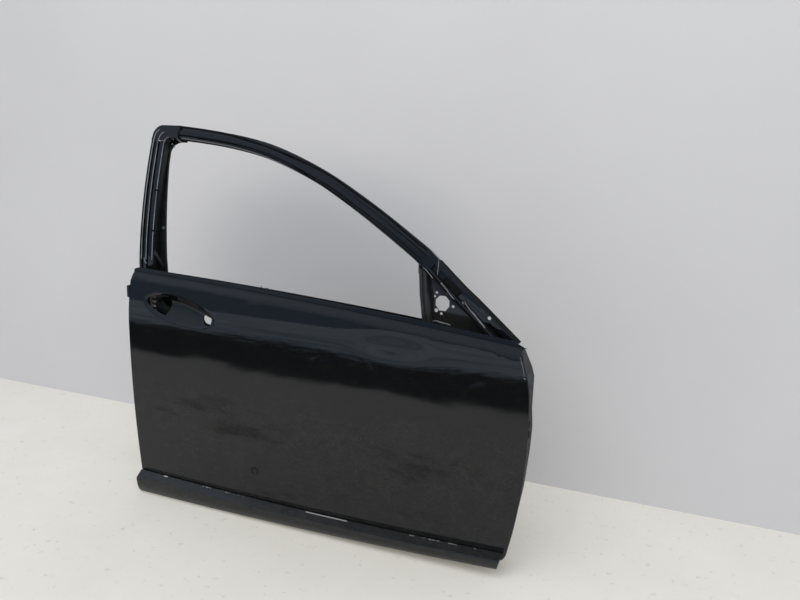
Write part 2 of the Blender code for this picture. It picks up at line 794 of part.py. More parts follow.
def pad_of(z):
    """The hinge-wall pad that a height lies on, if any, by its middle height."""
    half = HINGE_PAD_HEIGHT / 2
    for middle in (LOWER_HINGE_Z, UPPER_HINGE_Z):
        if abs(z - middle) <= half + GAP / 2:
            return middle
    return None


def pan_rings():
    """Flange edge, wall foot and wall top of the inner pan, station by station, flat at its pads."""
    rim = rim_path()
    for i in (0, -1):
        rim[i] = (rim[i][0], rim[i][1] - HEM_BACK)
    edge = inset(rim, RIM_CLEAR)
    foot = inset(rim, [band_width(p) for p in rim])
    top = inset(rim, [band_width(p) + WALL_DRAFT for p in rim])
    for i, (x, z) in enumerate(rim):
        pad = pad_of(z) if x > DOOR_LENGTH / 2 else None
        if pad is not None:
            face_x = hinge_face_x(pad, foot[i][1] - pad)
            foot[i] = (face_x + PAD_COIN - PAN_SHEET / 2, foot[i][1])
            top[i] = foot[i]
        if x == 0.0 and abs(z - LATCH_Z) <= LATCH_HEIGHT / 2 + GAP / 2:
            foot[i] = (foot[i][0] + PAD_SINK - PAD_COIN, foot[i][1])
            top[i] = foot[i]
    return edge, foot, top


def wall_knee(foot, top, level):
    """Where the wall straightens, a little way up from its foot."""
    base = skin_y(*foot) + level
    share = PAD_KNEE / (INNER_Y - base)
    return (lerp(foot[0], top[0], share), base + PAD_KNEE, lerp(foot[1], top[1], share))


def service_loop():
    """The large opening in the pan, anticlockwise from its rear top corner."""
    corners = [(x * DOOR_LENGTH, z * BELT_REAR_Z) for x, z in SERVICE_SHARES]
    return rounded(corners, SERVICE_CORNER)


def narrow_grid(border):
    """Points of the pan's inner face where it narrows, inside its border."""
    border = [Vector(p) for p in inset(border, STATION_STEP / 8, True)]
    points = []
    for x in spaced(NARROW_X, DOOR_LENGTH, STATION_STEP / 2):
        for z in spaced(NARROW_Z, BELT_FRONT_Z, STATION_STEP / 2):
            if inside(Vector((x, z)), border):
                points.append((x, pan_y(x, z), z))
    return points


def make_inner_panel():
    """The deep pan: flange, walls, inner face with a sunk shelf round each large opening."""
    sheet = Sheet()
    edge, foot, top = pan_rings()
    level = SKIN_SHEET + GAP + PAN_SHEET / 2
    rim = rim_path()
    bend = inset(edge, [band_width(p) - RIM_CLEAR for p in rim])
    rows = [sheet.row(on_skin(path, level)) for path in (edge, bend)]
    rows.append(sheet.row([wall_knee(a, b, level) for a, b in zip(foot, top)]))
    rows.append(sheet.row([(x, pan_y(x, z), z) for x, z in top]))
    for a, b in zip(rows, rows[1:]):
        sheet.bridge(a, b)
    top_row = rows[-1]
    start, end = top[0][0] + STATION_STEP / 2, top[-1][0] - STATION_STEP / 2
    belt = [(x, belt_z(x) - PAN_DROP) for x in reversed(spaced(start, end, STATION_STEP))]
    belt = sheet.row([(x, pan_y(x, z), z) for x, z in belt])
    lip = sheet.row([(p.x, p.y - PAN_LIP, p.z + PAN_LIP / 2) for p in (sheet.points[i] for i in belt)])
    sheet.bridge(belt, lip)
    holes = []
    for loop in (service_loop(), ring(SPEAKER_X, SPEAKER_Z, SPEAKER_RADIUS, SPEAKER_RADIUS, 24)):
        holes.append(shelf(sheet, loop))
    for x, z, half_length, half_height in access_holes():
        loop = ring(x, z, half_length, half_height, 12)
        holes.append(sheet.row([(a, INNER_Y, b) for a, b in loop]))
    border = [*top_row, *belt]
    outline = [(p.x, p.z) for p in (sheet.points[i] for i in border)]
    sheet.fill(border, holes, sheet.row(narrow_grid(outline)))
    pan = sheet_object("inner_panel", sheet, PAN_SHEET, INNER_PAINT)
    join_cut(pan, hinge_bolts() + [latch_cutter()], "pan_cutter")
    return smooth(join_cut(pan, coined_faces(), "coin_cutter"), 30)


def shelf(sheet, loop):
    """The sunk shelf round an opening; gives back its outer loop."""
    step = [(x, INNER_Y - SHELF_STEP, z) for x, z in loop]
    inner = sheet.row(step)
    outward = 1.0 if turns_left(loop) else -1.0
    middle = inset(loop, -SHELF_WIDTH * outward, True)
    outer = inset(loop, -(SHELF_WIDTH + SHELF_SLOPE) * outward, True)
    middle = sheet.row([(x, INNER_Y - SHELF_STEP, z) for x, z in middle])
    outer = sheet.row([(x, INNER_Y, z) for x, z in outer])
    sheet.bridge(inner, middle, True)
    sheet.bridge(middle, outer, True)
    return outer


def turns_left(loop):
    area = sum(a[0] * b[1] - b[0] * a[1] for a, b in zip(loop, [*loop[1:], loop[0]]))
    return area > 0


def access_holes():
    """Small openings of the pan: latch access, arm-rest and wiring."""
    places = []
    for across, up, length, height in ACCESS_HOLE_SHARES:
        size = ACCESS_HOLE_RADIUS
        places.append((across * DOOR_LENGTH, up * BELT_REAR_Z, length * size, height * size))
    return places


def hinge_bolts():
    """Cutters of the bolt holes in both hinge pads and of the check strap's slot."""
    cutters = []
    half = HINGE_BOLT_SPREAD / 2
    for z in (LOWER_HINGE_Z, UPPER_HINGE_Z):
        x = hinge_face_x(z)
        for lift in (-half, half):
            start = (x - PLATE_DEPTH / 4, HINGE_Y, z + lift)
            cutters.append(cylinder(start, (x + PLATE_DEPTH / 8, HINGE_Y, z + lift), HINGE_BOLT_RADIUS))
    return cutters


def latch_cutter():
    """Cutter of the latch's mouth in the rear wall, which runs out over the pan's face edge."""
    half = LATCH_HEIGHT / 5
    low, high = LATCH_Z - half, LATCH_Z + half
    near, far = LATCH_Y - half / 2, LATCH_Y + half / 2
    outline = rounded([(near, low), (far, low), (far, high), (near, high)], half / 4, 3)
    return prism(outline, HEM_BAND / 2, HEM_BAND * 3 / 2, 0)


def coined_faces():
    """Cutters that coin the hinge and latch pads flat where their mates bolt on."""
    cutters = []
    reach = HINGE_PAD_HEIGHT / 2 - PLATE_SHEET * 2
    sides = (HINGE_Y - PLATE_DEPTH / 2, HINGE_Y + PLATE_DEPTH / 2)
    for z in (LOWER_HINGE_Z, UPPER_HINGE_Z):
        low = Vector((hinge_face_x(z, -reach), z - reach))
        high = Vector((hinge_face_x(z, reach), z + reach))
        rise = (high - low).normalized()
        out = Vector((rise.y, -rise.x)) * PAN_SHEET
        cutters.append(prism([low, low + out, high + out, high], *sides))
    near, far = LATCH_Y - PLATE_DEPTH / 2, LATCH_Y + PLATE_DEPTH / 2
    reach = LATCH_HEIGHT / 2 - PLATE_SHEET * 2
    low, high = LATCH_Z - reach, LATCH_Z + reach
    face_x = HEM_BAND + PAD_SINK - PAN_SHEET / 2
    outline = [(near, low), (far, low), (far, high), (near, high)]
    cutters.append(prism(outline, face_x - PAN_SHEET, face_x, 0))
    return cutters


def make_sill_moulding():
    """The body-coloured moulding along the sill: ledge, outer face and turned-in foot."""
    sheet = Sheet()
    rows = []
    for x in spaced(MOULDING_START, MOULDING_END, STATION_STEP):
        share = (x - MOULDING_START) / (MOULDING_END - MOULDING_START)
        rows.append([moulding_point(share, section) for section in MOULDING_SECTION_SHARES])
    ends = sheet.grid(rows)
    for end in (ends[0], ends[-1]):
        sheet.faces.append(tuple(end))
    return smooth(sheet_object("sill_moulding", sheet, MOULDING_SHEET, GLOSS_PAINT), 40)


def moulding_point(share, section):
    """A place on the moulding's mid-wall; its front end slants back towards the foot."""
    reach, height = section
    end = MOULDING_END - MOULDING_SLANT * (1.0 - height)
    x = lerp(MOULDING_START, end, share)
    z = lerp(moulding_z(x) + MOULDING_SHEET / 2, ledge_z(x), height)
    back = skin_y(x, z) - MOULDING_SHEET - 2 * GAP
    return (x, back - MOULDING_REACH * reach, z)


def make_moulding_clips():
    """Clips that hold the moulding's face to the skin."""
    solids = []
    for i in range(CLIP_COUNT):
        x, y, z = moulding_point((i + 0.5) / CLIP_COUNT, CLIP_SHARES)
        start = skin_y(x, z + CLIP_RADIUS) - 3 * GAP / 2
        end = y + MOULDING_SHEET / 2 + CLIP_RADIUS / 5
        solids.append(cylinder((x, start, z), (x, end, z), CLIP_RADIUS, 8))
    solid_objects([f"moulding_clip_{i + 1}" for i in range(CLIP_COUNT)], solids, PLASTIC)


def header_path(steps=4):
    """The header's outer edge with its direction, from the rear corner to the mirror corner."""
    end = Vector((RAIL_TOP_X - JOINT_LENGTH, RAIL_TOP_Z + JOINT_RISE))
    rise = FRAME_TOP_Z - end.y
    points = [(x * end.x, end.y + z * rise) for x, z in zip(HEADER_X_SHARES, HEADER_Z_SHARES)]
    return smooth_path(points, steps)[steps:]


def frame_stations(path):
    """Place, across and inward directions along a path on the frame's outer face."""
    stations = []
    for place, direction in path:
        inward = frame_normal(place.y)
        along = Vector((direction.x, 0.0, direction.y))
        along = (along - inward * along.dot(inward)).normalized()
        stations.append((Vector((place.x, frame_y(place.y), place.y)), inward.cross(along), inward))
    return stations


def swept(name, stations, section, look, widths, depth):
    """A section of shares of width and depth carried along stations, between two end widths."""
    sheet = Sheet()
    rows = []
    for i, (origin, across, inward) in enumerate(stations):
        width = lerp(*widths, i / (len(stations) - 1))
        rows.append([origin + across * u * width + inward * v * depth for u, v in section])
    sheet.grid(rows)
    return smooth(sheet_object(name, sheet, FRAME_SHEET, look), 30)


def make_header():
    """The roof-side header and the glass channel on its inner side."""
    stations = frame_stations(header_path())
    widths = (HEADER_WIDTH, HEADER_FRONT_WIDTH)
    swept("header_profile", stations, HEADER_SECTION_SHARES, GLOSS_PAINT, widths, HEADER_DEPTH)
    leg = HEADER_SECTION_SHARES[-1][1] + (GAP + FRAME_SHEET / 2) / HEADER_DEPTH
    channel = ((1.0, leg), (CHANNEL_START_SHARE, leg), (CHANNEL_START_SHARE, 1.0), (1.0, 1.0))
    swept("header_channel", stations, channel, INNER_PAINT, widths, HEADER_DEPTH)


def pillar_stations(low, high, side=0.0):
    """Stations up the rear pillar, side metres forward of its rear edge, all with level sides."""
    stations = []
    for z in spaced(low, high, STATION_STEP / 2):
        origin = Vector((pillar_x(z) + side, frame_y(z), z))
        stations.append((origin, Vector((1.0, 0.0, 0.0)), frame_normal(z)))
    return stations


def make_pillar():
    """The ribbed rear pillar, and the glass channel beside it that runs on down into the door."""
    foot = hem_top_z(0.0) + GAP
    stations = pillar_stations(foot, PILLAR_TOP_Z)
    widths = (PILLAR_WIDTH, PILLAR_WIDTH)
    swept("pillar_profile", stations, PILLAR_SECTION_SHARES, GLOSS_PAINT, widths, PILLAR_DEPTH)
    sheet = Sheet()
    rows = []
    side = PILLAR_WIDTH + FRAME_SHEET + GAP
    for origin, across, inward in pillar_stations(GUIDE_FOOT_Z, PILLAR_TOP_Z, side):
        leg = leg_width(origin.z)
        section = [(0.0, PILLAR_DEPTH / 8), (0.0, PILLAR_DEPTH), (leg, PILLAR_DEPTH)]
        section.append((leg, PILLAR_DEPTH * 0.82))
        rows.append([origin + across * u + inward * v for u, v in section])
    sheet.grid(rows)
    smooth(sheet_object("pillar_channel", sheet, FRAME_SHEET, INNER_PAINT), 30)


def on_frame(path, depth):
    """Points of the side view put at a depth behind the frame's outer face."""
    return [Vector((x, frame_y(z), z)) + frame_normal(z) * depth for x, z in path]


def make_frame_corner():
    """The stamping that turns the pillar into the header, with its outer edge folded in."""
    low = PILLAR_TOP_Z + 2 * GAP
    left = pillar_x(PILLAR_TOP_Z)
    place, direction = header_path()[0]
    end = place - direction * GAP
    low_end = end + Vector((direction.y, -direction.x)) * HEADER_WIDTH
    top = end.y
    outer = [(left, low)]
    outer += round_corner((left, top - CORNER_RADIUS), (left, top), (left + CORNER_RADIUS, top), 7)
    outer += [(left + CORNER_RADIUS, top), tuple(end)]
    inner_x = left + PILLAR_WIDTH
    inner = [tuple(low_end), (inner_x + CORNER_RADIUS / 4, low_end.y), (inner_x, low)]
    sheet = Sheet()
    face = sheet.row(on_frame(outer, 0.0))
    sheet.bridge(face, sheet.row(on_frame(inset(outer, GAP), HEADER_DEPTH * 0.8)))
    edge = sheet.row(on_frame(inner, 0.0))
    sheet.bridge(edge, sheet.row(on_frame(inner, PILLAR_DEPTH)))
    sheet.fill([*face, *edge])
    smooth(sheet_object("frame_corner", sheet, FRAME_SHEET, GLOSS_PAINT), 30)


def gusset_edge():
    """Rear edge of the gusset, just ahead of the channel's base."""
    return pillar_x(PILLAR_TOP_Z) + PILLAR_WIDTH + 2 * (FRAME_SHEET + GAP)


def make_corner_gusset():
    """The flat gusset with a hollow curve that stiffens the window opening's rear top corner."""
    depth = PILLAR_DEPTH + FRAME_SHEET + GAP
    edge = gusset_edge()
    leg = edge + LEG_TOP_WIDTH
    level = FRAME_TOP_Z - HEADER_WIDTH
    top = level + HEADER_WIDTH * 0.4
    end = leg + GUSSET_RADIUS * 1.2
    right = end + GUSSET_RADIUS / 2
    curve = round_corner((leg, level - GUSSET_RADIUS), (leg, level), (end, level), 6)
    loop = [(right, top), (edge, top), (edge, level - GUSSET_RADIUS), (leg, level - GUSSET_RADIUS)]
    loop += [*curve, (end, level), (right, level)]
    sheet = Sheet()
    sheet.fill(sheet.row(on_frame(loop, depth)))
    smooth(sheet_object("corner_gusset", sheet, FRAME_SHEET, INNER_PAINT))


def rail_path():
    """Outer edge of the rail in front of the mirror, straight down to the belt's front end."""
    slope = Vector(RAIL_SLOPE_SHARES).normalized()
    start = Vector((RAIL_TOP_X, RAIL_TOP_Z))
    return [(start + slope * s, slope) for s in spaced(0.0, RAIL_LENGTH, STATION_STEP)]


def make_front_rail():
    """The rail from the header's front end down to the belt."""
    end = (MIRROR_PLATE_DEPTH - FRAME_SHEET / 2 - GAP) / RAIL_DEPTH
    section = (*RAIL_SECTION_SHARES, (1.0, end))
    stations = frame_stations(rail_path())
    rail = swept("front_rail", stations, section, GLOSS_PAINT, (RAIL_WIDTH, RAIL_WIDTH), RAIL_DEPTH)
    middle = Vector((PIN_HOLE_X, frame_y(PIN_HOLE_Z), PIN_HOLE_Z))
    reach = Vector((0.0, RAIL_DEPTH / 2, 0.0))
    hole = cylinder(middle - reach, middle + reach, PIN_HOLE_RADIUS)
    join_cut(rail, [hole], "pin_hole_cutter")


def make_frame_joint():
    """The corner stamping between the header's front end and the rail in front of the mirror."""
    back, ahead = header_path()[-1], rail_path()[0]
    loop = []
    for (place, direction), width, side in ((back, HEADER_FRONT_WIDTH, 1.0), (ahead, RAIL_WIDTH, -1.0)):
        outer = place + direction * GAP * side
        inner = outer + Vector((direction.y, -direction.x)) * width
        loop += [outer, inner] if side > 0 else [inner, outer]
    sheet = Sheet()
    face = sheet.row(on_frame([tuple(p) for p in loop], 0.0))
    sheet.faces.append(tuple(face))
    folded = [tuple(loop[i].lerp(loop[j], GAP / RAIL_WIDTH)) for i, j in ((0, 1), (3, 2))]
    sheet.bridge([face[0], face[3]], sheet.row(on_frame(folded, RAIL_DEPTH / 2)))
    smooth(sheet_object("frame_joint", sheet, FRAME_SHEET, GLOSS_PAINT), 30)


def post_x(z):
    """Rear edge of the mirror post, which leans back a little."""
    rise = (z - BELT_FRONT_Z) / (RAIL_TOP_Z - BELT_FRONT_Z)
    return lerp(POST_FOOT_X, POST_TOP_X, rise)


def post_stations(low, high):
    stations = []
    for z in spaced(low, high, STATION_STEP):
        origin = Vector((post_x(z), frame_y(z), z))
        stations.append((origin, Vector((1.0, 0.0, 0.0)), frame_normal(z)))
    return stations


def post_top_z(x):
    """Slanting top of the mirror post, just under the header's and the joint's inner edge."""
    place, direction = header_path()[-1]
    high = place + Vector((direction.y, -direction.x)) * HEADER_FRONT_WIDTH
    low = rail_edge(1.0)[0]
    return high.y + (low.y - high.y) / (low.x - high.x) * (x - high.x) - POST_TOP_CLEAR


def make_mirror_post():
    """The post behind the mirror corner and the glass guide that carries on below it."""
    end = (MIRROR_PLATE_DEPTH - FRAME_SHEET / 2 - GAP) / POST_DEPTH
    section = (*POST_SECTION_SHARES, (1.0, end))
    stations = post_stations(POST_FOOT_Z, POST_TOP_Z)
    sheet = Sheet()
    rows = []
    for origin, across, inward in stations:
        rows.append([origin + across * u * POST_WIDTH + inward * v * POST_DEPTH for u, v in section])
    rows[-1] = [Vector((p.x, p.y, post_top_z(p.x))) for p in rows[-1]]
    sheet.grid(rows)
    smooth(sheet_object("mirror_post", sheet, FRAME_SHEET, INNER_PAINT), 30)
    widths = (POST_WIDTH, POST_WIDTH)
    guide = ((0.0, 0.20), (0.0, 1.0), (0.90, 1.0), (0.90, 0.20))
    low = post_stations(GUIDE_FOOT_Z, POST_FOOT_Z - GAP)
    swept("front_guide", low, guide, PRIMED_STEEL, widths, POST_DEPTH)


def rail_edge(share):
    """A line of the side view at a share of the front rail's width."""
    path = rail_path()
    slope = path[0][1]
    down = Vector((slope.y, -slope.x)) * RAIL_WIDTH * share
    return path[0][0] + down, path[-1][0] + down


def make_mirror_plate():
    """The sunk plate of the mirror corner with its large hole, fixing holes and pressed ribs."""
    top, foot = rail_edge(0.6)
    left = post_x(MIRROR_HOLE_Z) + POST_WIDTH * 0.6
    high = Vector(top).lerp(Vector(foot), -0.04)
    low_right = Vector(top).lerp(Vector(foot), 0.93)
    step = post_x(MIRROR_PLATE_FOOT_Z) + POST_WIDTH + PLATE_SHEET
    low = POST_FOOT_Z + PLATE_SHEET
    loop = [(left, high.y - POST_WIDTH), (left, low), (step, low), (step, MIRROR_PLATE_FOOT_Z),
            (low_right.x - RAIL_WIDTH, MIRROR_PLATE_FOOT_Z), tuple(low_right), tuple(high)]
    sheet = Sheet()
    outline = sheet.row(on_frame(loop, MIRROR_PLATE_DEPTH))
    holes = [sheet.row(on_frame(hole, MIRROR_PLATE_DEPTH)) for hole in mirror_holes()]
    sheet.fill(outline, holes)
    return smooth(sheet_object("mirror_plate", sheet, FRAME_SHEET, INNER_PAINT))


def mirror_holes():
    """The mirror's eight-sided hole with a lobe at its foot, and the small holes round it."""
    radius = MIRROR_HOLE_RADIUS
    steps = 8
    main = []
    for i in range(steps):
        turn = math.tau * (i + 0.5) / steps
        reach = radius * (1.12 if i in (5, 6) else 1.0)
        main.append((MIRROR_HOLE_X + reach * math.cos(turn), MIRROR_HOLE_Z + reach * math.sin(turn)))
    holes = [main]
    for across, up, size in SMALL_HOLE_SHARES:
        x, z = MIRROR_HOLE_X + across * radius, MIRROR_HOLE_Z + up * radius
        holes.append(ring(x, z, size * radius, size * radius, 8))
    return holes


def hat(name, stations, section, thickness, look):
    """A bracket whose section, given as places in Y and Z, runs along X."""
    sheet = Sheet()
    sheet.grid([[(x, y, z) for y, z in section] for x in stations])
    return smooth(sheet_object(name, sheet, thickness, look))


def pan_seat(thickness):
    """Mid-wall of a sheet that lies on the outer side of the pan's inner face."""
    return INNER_Y - PAN_SHEET / 2 - GAP - thickness / 2


def z_bracket(name, x0, x1, z, near):
    """A stepped bracket between the pan's inner face and the back of a guide at depth near."""
    step = BRACKET_SHEET
    far = pan_seat(step)
    near = near + GAP + step / 2
    reach = far - near
    section = [(near, z + reach), (near, z), (far, z - reach / 2), (far, z - reach * 1.5)]
    return hat(name, (x0, x1), section, step, PRIMED_STEEL)


def make_guide_brackets():
    """Brackets that tie the two glass guides to the pan."""
    z = GUIDE_FOOT_Z + PLATE_DEPTH
    side = pillar_x(z) + PILLAR_WIDTH + FRAME_SHEET + GAP
    back = FRAME_FOOT_Y + PILLAR_DEPTH + FRAME_SHEET / 2
    z_bracket("rear_guide_bracket", side, side + LEG_FOOT_WIDTH, z, back)
    x = post_x(z)
    back = FRAME_FOOT_Y + POST_DEPTH + FRAME_SHEET / 2
    z_bracket("front_guide_bracket", x, x + POST_WIDTH, z, back)
    back = FRAME_FOOT_Y + MIRROR_PLATE_DEPTH + FRAME_SHEET / 2
    x = MIRROR_HOLE_X + 2 * MIRROR_HOLE_RADIUS
    z_bracket("mirror_plate_bracket", x, x + PLATE_DEPTH, MIRROR_PLATE_FOOT_Z + BRACKET_SHEET, back)


def make_belt_rails():
    """The two waist rails: one under the skin's belt, one on the pan."""
    sheet = Sheet()
    rows = []
    for x in spaced(HEM_BAND * 2.5, DOOR_LENGTH - RAIL_HEIGHT, STATION_STEP):
        top = belt_z(x)
        seat = SKIN_SHEET + GAP + BRACKET_SHEET / 2
        face = skin_y(x, top) + seat
        deep = face + ROLL_DEPTH / 2
        low = top - BELT_FLANGE - RAIL_HEIGHT * 0.55
        row = [(face, top - GAP * 4), (face, top - BELT_FLANGE * 0.9), (deep, top - BELT_FLANGE * 1.5),
               (deep, low + BELT_FLANGE), (face, low + BELT_FLANGE / 2), (face, low)]
        rows.append([(x, y, z) for y, z in row])
    sheet.grid(rows)
    smooth(sheet_object("belt_rail_outer", sheet, BRACKET_SHEET, PRIMED_STEEL), 30)
    sheet = Sheet()
    rows = []
    far = pan_seat(BRACKET_SHEET)
    near = far - PILLAR_DEPTH / 2
    for x in spaced(STATION_STEP * 2, POST_FOOT_X, STATION_STEP):
        top = belt_z(x) - PAN_DROP - PAN_LIP
        low = top - RAIL_HEIGHT
        quarter = RAIL_HEIGHT / 4
        row = [(far, top), (far, top - quarter * 0.7), (near, top - quarter), (near, low + quarter * 1.2),
               (far, low + quarter * 0.9), (far, low)]
        rows.append([(x, y, z) for y, z in row])
    sheet.grid(rows)
    smooth(sheet_object("belt_rail_inner", sheet, BRACKET_SHEET, PRIMED_STEEL), 30)


def hinge_wall(low, high):
    """Foot, top and height of the hinge wall at its stations between two heights."""
    _, feet, tops = pan_rings()
    start = next(i for i, p in enumerate(feet) if p[0] > DOOR_LENGTH / 2 and p[1] > FRONT_CORNER * 2)
    wall = [(foot[0], top[0], foot[1]) for foot, top in zip(feet[start:], tops[start:])]
    line = []
    for a, b in zip(wall, wall[1:]):
        line += [tuple(Vector(a).lerp(Vector(b), (z - a[2]) / (b[2] - a[2])))
                 for z in (low, high) if a[2] <= z < b[2]]
        if low < b[2] < high and b[2] - a[2] > GAP:
            line.append(b)
    return sorted(line, key=lambda p: p[2])


def latch_wall(low, high):
    """Foot, top and height of the latch wall at two heights."""
    sunk = abs(low - LATCH_Z) < LATCH_HEIGHT / 2
    foot = HEM_BAND + PAD_SINK if sunk else HEM_BAND
    top = foot if sunk else HEM_BAND + WALL_DRAFT
    return [(foot, top, z) for z in (low, high)]


def wall_x(foot, top, z, y):
    """The leaning wall's middle at a depth y."""
    base = skin_y(foot, z) + SKIN_SHEET + GAP + PAN_SHEET / 2
    return lerp(foot, top, (y - base) / (INNER_Y - base))


def wall_plate(name, line, y0, y1, thickness):
    """A plate that lies inside the pan's wall, from y0 to y1."""
    seat = PAN_SHEET / 2 + GAP + thickness / 2
    inward = -seat if line[0][0] > DOOR_LENGTH / 2 else seat
    sheet = Sheet()
    sheet.grid([[(wall_x(foot, top, z, y) + inward, y, z) for y in (y0, y1)] for foot, top, z in line])
    return sheet_object(name, sheet, thickness, PRIMED_STEEL)


def make_hinge_plates():
    """Thick plates behind the hinge pads, drilled for the hinge bolts."""
    margin = HINGE_PAD_HEIGHT / 2 - PLATE_SHEET * 2
    half = PLATE_DEPTH / 2
    for name, z in (("upper_hinge_plate", UPPER_HINGE_Z), ("lower_hinge_plate", LOWER_HINGE_Z)):
        ends = [(hinge_face_x(z, lift) - PAN_SHEET / 2, z + lift) for lift in (-margin, margin)]
        line = [(x, x, height) for x, height in ends]
        plate = wall_plate(name, line, HINGE_Y - half, HINGE_Y + half, PLATE_SHEET)
        join_cut(plate, hinge_bolts(), name + "_cutter")


def make_check_plate():
    """The plate behind the wall where the door's check strap pulls."""
    half = CHECK_HEIGHT / 2
    line = hinge_wall(CHECK_Z - half, CHECK_Z + half)
    wall_plate("check_plate", line, HINGE_Y, HINGE_Y + PLATE_DEPTH / 2, BRACKET_SHEET)


def make_latch_plate():
    """The plate behind the latch's mouth in the rear wall."""
    half = LATCH_HEIGHT / 2 - BRACKET_SHEET
    line = latch_wall(LATCH_Z - half, LATCH_Z + half)
    reach = PLATE_DEPTH / 2 - BRACKET_SHEET
    plate = wall_plate("latch_plate", line, LATCH_Y - reach, LATCH_Y + reach, BRACKET_SHEET)
    join_cut(plate, [latch_cutter()], "latch_plate_cutter")


def beam_line():
    """Both ends of the side-impact beam's axis."""
    middle = skin_y(DOOR_LENGTH / 2, (BEAM_REAR_Z + BEAM_FRONT_Z) / 2)
    y = middle + SKIN_SHEET + BEAM_CLEAR + BEAM_RADIUS
    front = hinge_wall(BEAM_FRONT_Z - BEAM_END_INSET / 2, BEAM_FRONT_Z + BEAM_END_INSET / 2)
    nearest = min(foot for foot, _, _ in front)
    seat = PAN_SHEET / 2 + 2 * GAP + BRACKET_SHEET
    rear = Vector((HEM_BAND + seat + BRACKET_SHEET, y, BEAM_REAR_Z))
    return rear, Vector((nearest - seat - BRACKET_SHEET, y, BEAM_FRONT_Z))


def make_beam():
    """The tube against side impact and the plates that hold its ends to the pan."""
    start, end = beam_line()
    sheet = Sheet()
    axis = (end - start).normalized()
    side = Vector((0.0, 1.0, 0.0))
    other = axis.cross(side).normalized()
    radius = BEAM_RADIUS - BEAM_WALL / 2
    steps = 16
    rows = []
    for place in (start, end):
        turns = [math.tau * i / steps for i in range(steps)]
        rows.append(sheet.row([place + (side * math.cos(t) + other * math.sin(t)) * radius for t in turns]))
    sheet.bridge(rows[0], rows[1], True)
    smooth(sheet_object("impact_beam", sheet, BEAM_WALL, PRIMED_STEEL))
    half = BEAM_END_INSET / 2
    y0, y1 = start.y - BEAM_RADIUS, start.y + BEAM_RADIUS * 1.6
    line = latch_wall(BEAM_REAR_Z - half, BEAM_REAR_Z + half)
    wall_plate("beam_bracket_rear", line, y0, y1, BRACKET_SHEET)
    line = hinge_wall(BEAM_FRONT_Z - half, BEAM_FRONT_Z + half)
    wall_plate("beam_bracket_front", line, y0, y1, BRACKET_SHEET)


def bowl_back():
    """The innermost face of the hand recess."""
    bowl = recess_rings()[3]
    return max(skin_y(x, z) for x, z in bowl) + SKIN_SHEET


def make_handle_carrier():
    """The frame behind the recess that carries the pull handle, with a collar round its lever."""
    level = bowl_back() + GAP + CARRIER_SHEET / 2
    grow = 1.06
    half = RECESS_HALF_HEIGHT
    outline = [recess_place(a, b) for a, b in ring(0.0, 0.0, RECESS_HALF_LENGTH * grow, half, 24)]
    rear = rear_opening(REAR_OPENING_SHARE * 0.84)
    front = rounded(front_hole_corners(), FRONT_HOLE_HALF_HEIGHT / 3, 3)
    front = [recess_place(a - FRONT_HOLE_HALF_LENGTH / 2, b) for a, b in front]
    front = inset(front, -FRONT_HOLE_HALF_HEIGHT / 2, True)
    sheet = Sheet()
    rows = []
    for loop in (outline, rear, front):
        rows.append(sheet.row([(x, level, z) for x, z in loop]))
    sheet.fill(rows[0], rows[1:])
    collar = sheet.row([(x, level + RECESS_DEPTH * 0.8, z) for x, z in rear])
    sheet.bridge(rows[1], collar, True)
    smooth(sheet_object("handle_carrier", sheet, CARRIER_SHEET, PLASTIC))


def make_lever_comb():
    """The small comb that stands into the lever opening from the rear."""
    level = bowl_back() - GAP
    tooth = RECESS_HALF_HEIGHT / 6
    root = recess_place(-RECESS_HALF_LENGTH, 0.0)[0]
    solids = []
    outline = [(root, RECESS_Z - tooth * 3)]
    for i in range(COMB_TEETH):
        z = RECESS_Z - tooth * 3 + i * 2 * tooth
        outline += [(root + 3 * tooth, z), (root + 3 * tooth, z + tooth), (root + tooth, z + tooth)]
        outline += [(root + tooth, z + 2 * tooth)] if i < COMB_TEETH - 1 else []
    outline.append((root, RECESS_Z - tooth * 3 + (2 * COMB_TEETH - 1) * tooth))
    solids.append(prism(outline, level - CARRIER_SHEET, level - GAP))
    solid_objects(["lever_comb"], solids, PLASTIC)


def make_damping_pads():
    """Bitumen pads on the inside of the skin, cut along the skin's own stations."""
    xs = spaced(0.0, DOOR_LENGTH, STATION_STEP)
    zs = spaced(bottom_z(0.0), BELT_REAR_Z, STATION_STEP)
    level = SKIN_SHEET + 2 * GAP + PAD_SHEET / 2
    names = ("rear_damping_pad", "front_damping_pad", "waist_damping_pad")
    for name, (x0, x1, z0, z1) in zip(names, PAD_STATIONS):
        sheet = Sheet()
        sheet.grid([on_skin([(x, z) for z in zs[z0:z1 + 1]], level) for x in xs[x0:x1 + 1]])
        smooth(sheet_object(name, sheet, PAD_SHEET, DAMPING))


def make_edge_buffer():
    """The rubber buffer on the rear edge just under the belt."""
    seat = -FOLD_OUT - SKIN_SHEET / 2 - GAP
    y = skin_y(0.0, BUFFER_Z)
    half = BUFFER_HEIGHT / 2
    corners = [(seat - BUFFER_REACH, BUFFER_Z - half), (seat, BUFFER_Z - half),
               (seat, BUFFER_Z + half), (seat - BUFFER_REACH, BUFFER_Z + half)]
    solid = prism(rounded(corners, BUFFER_REACH / 3, 3), y - GAP, y + BUFFER_WIDTH)
    solid_objects(["edge_buffer"], [solid], RUBBER)


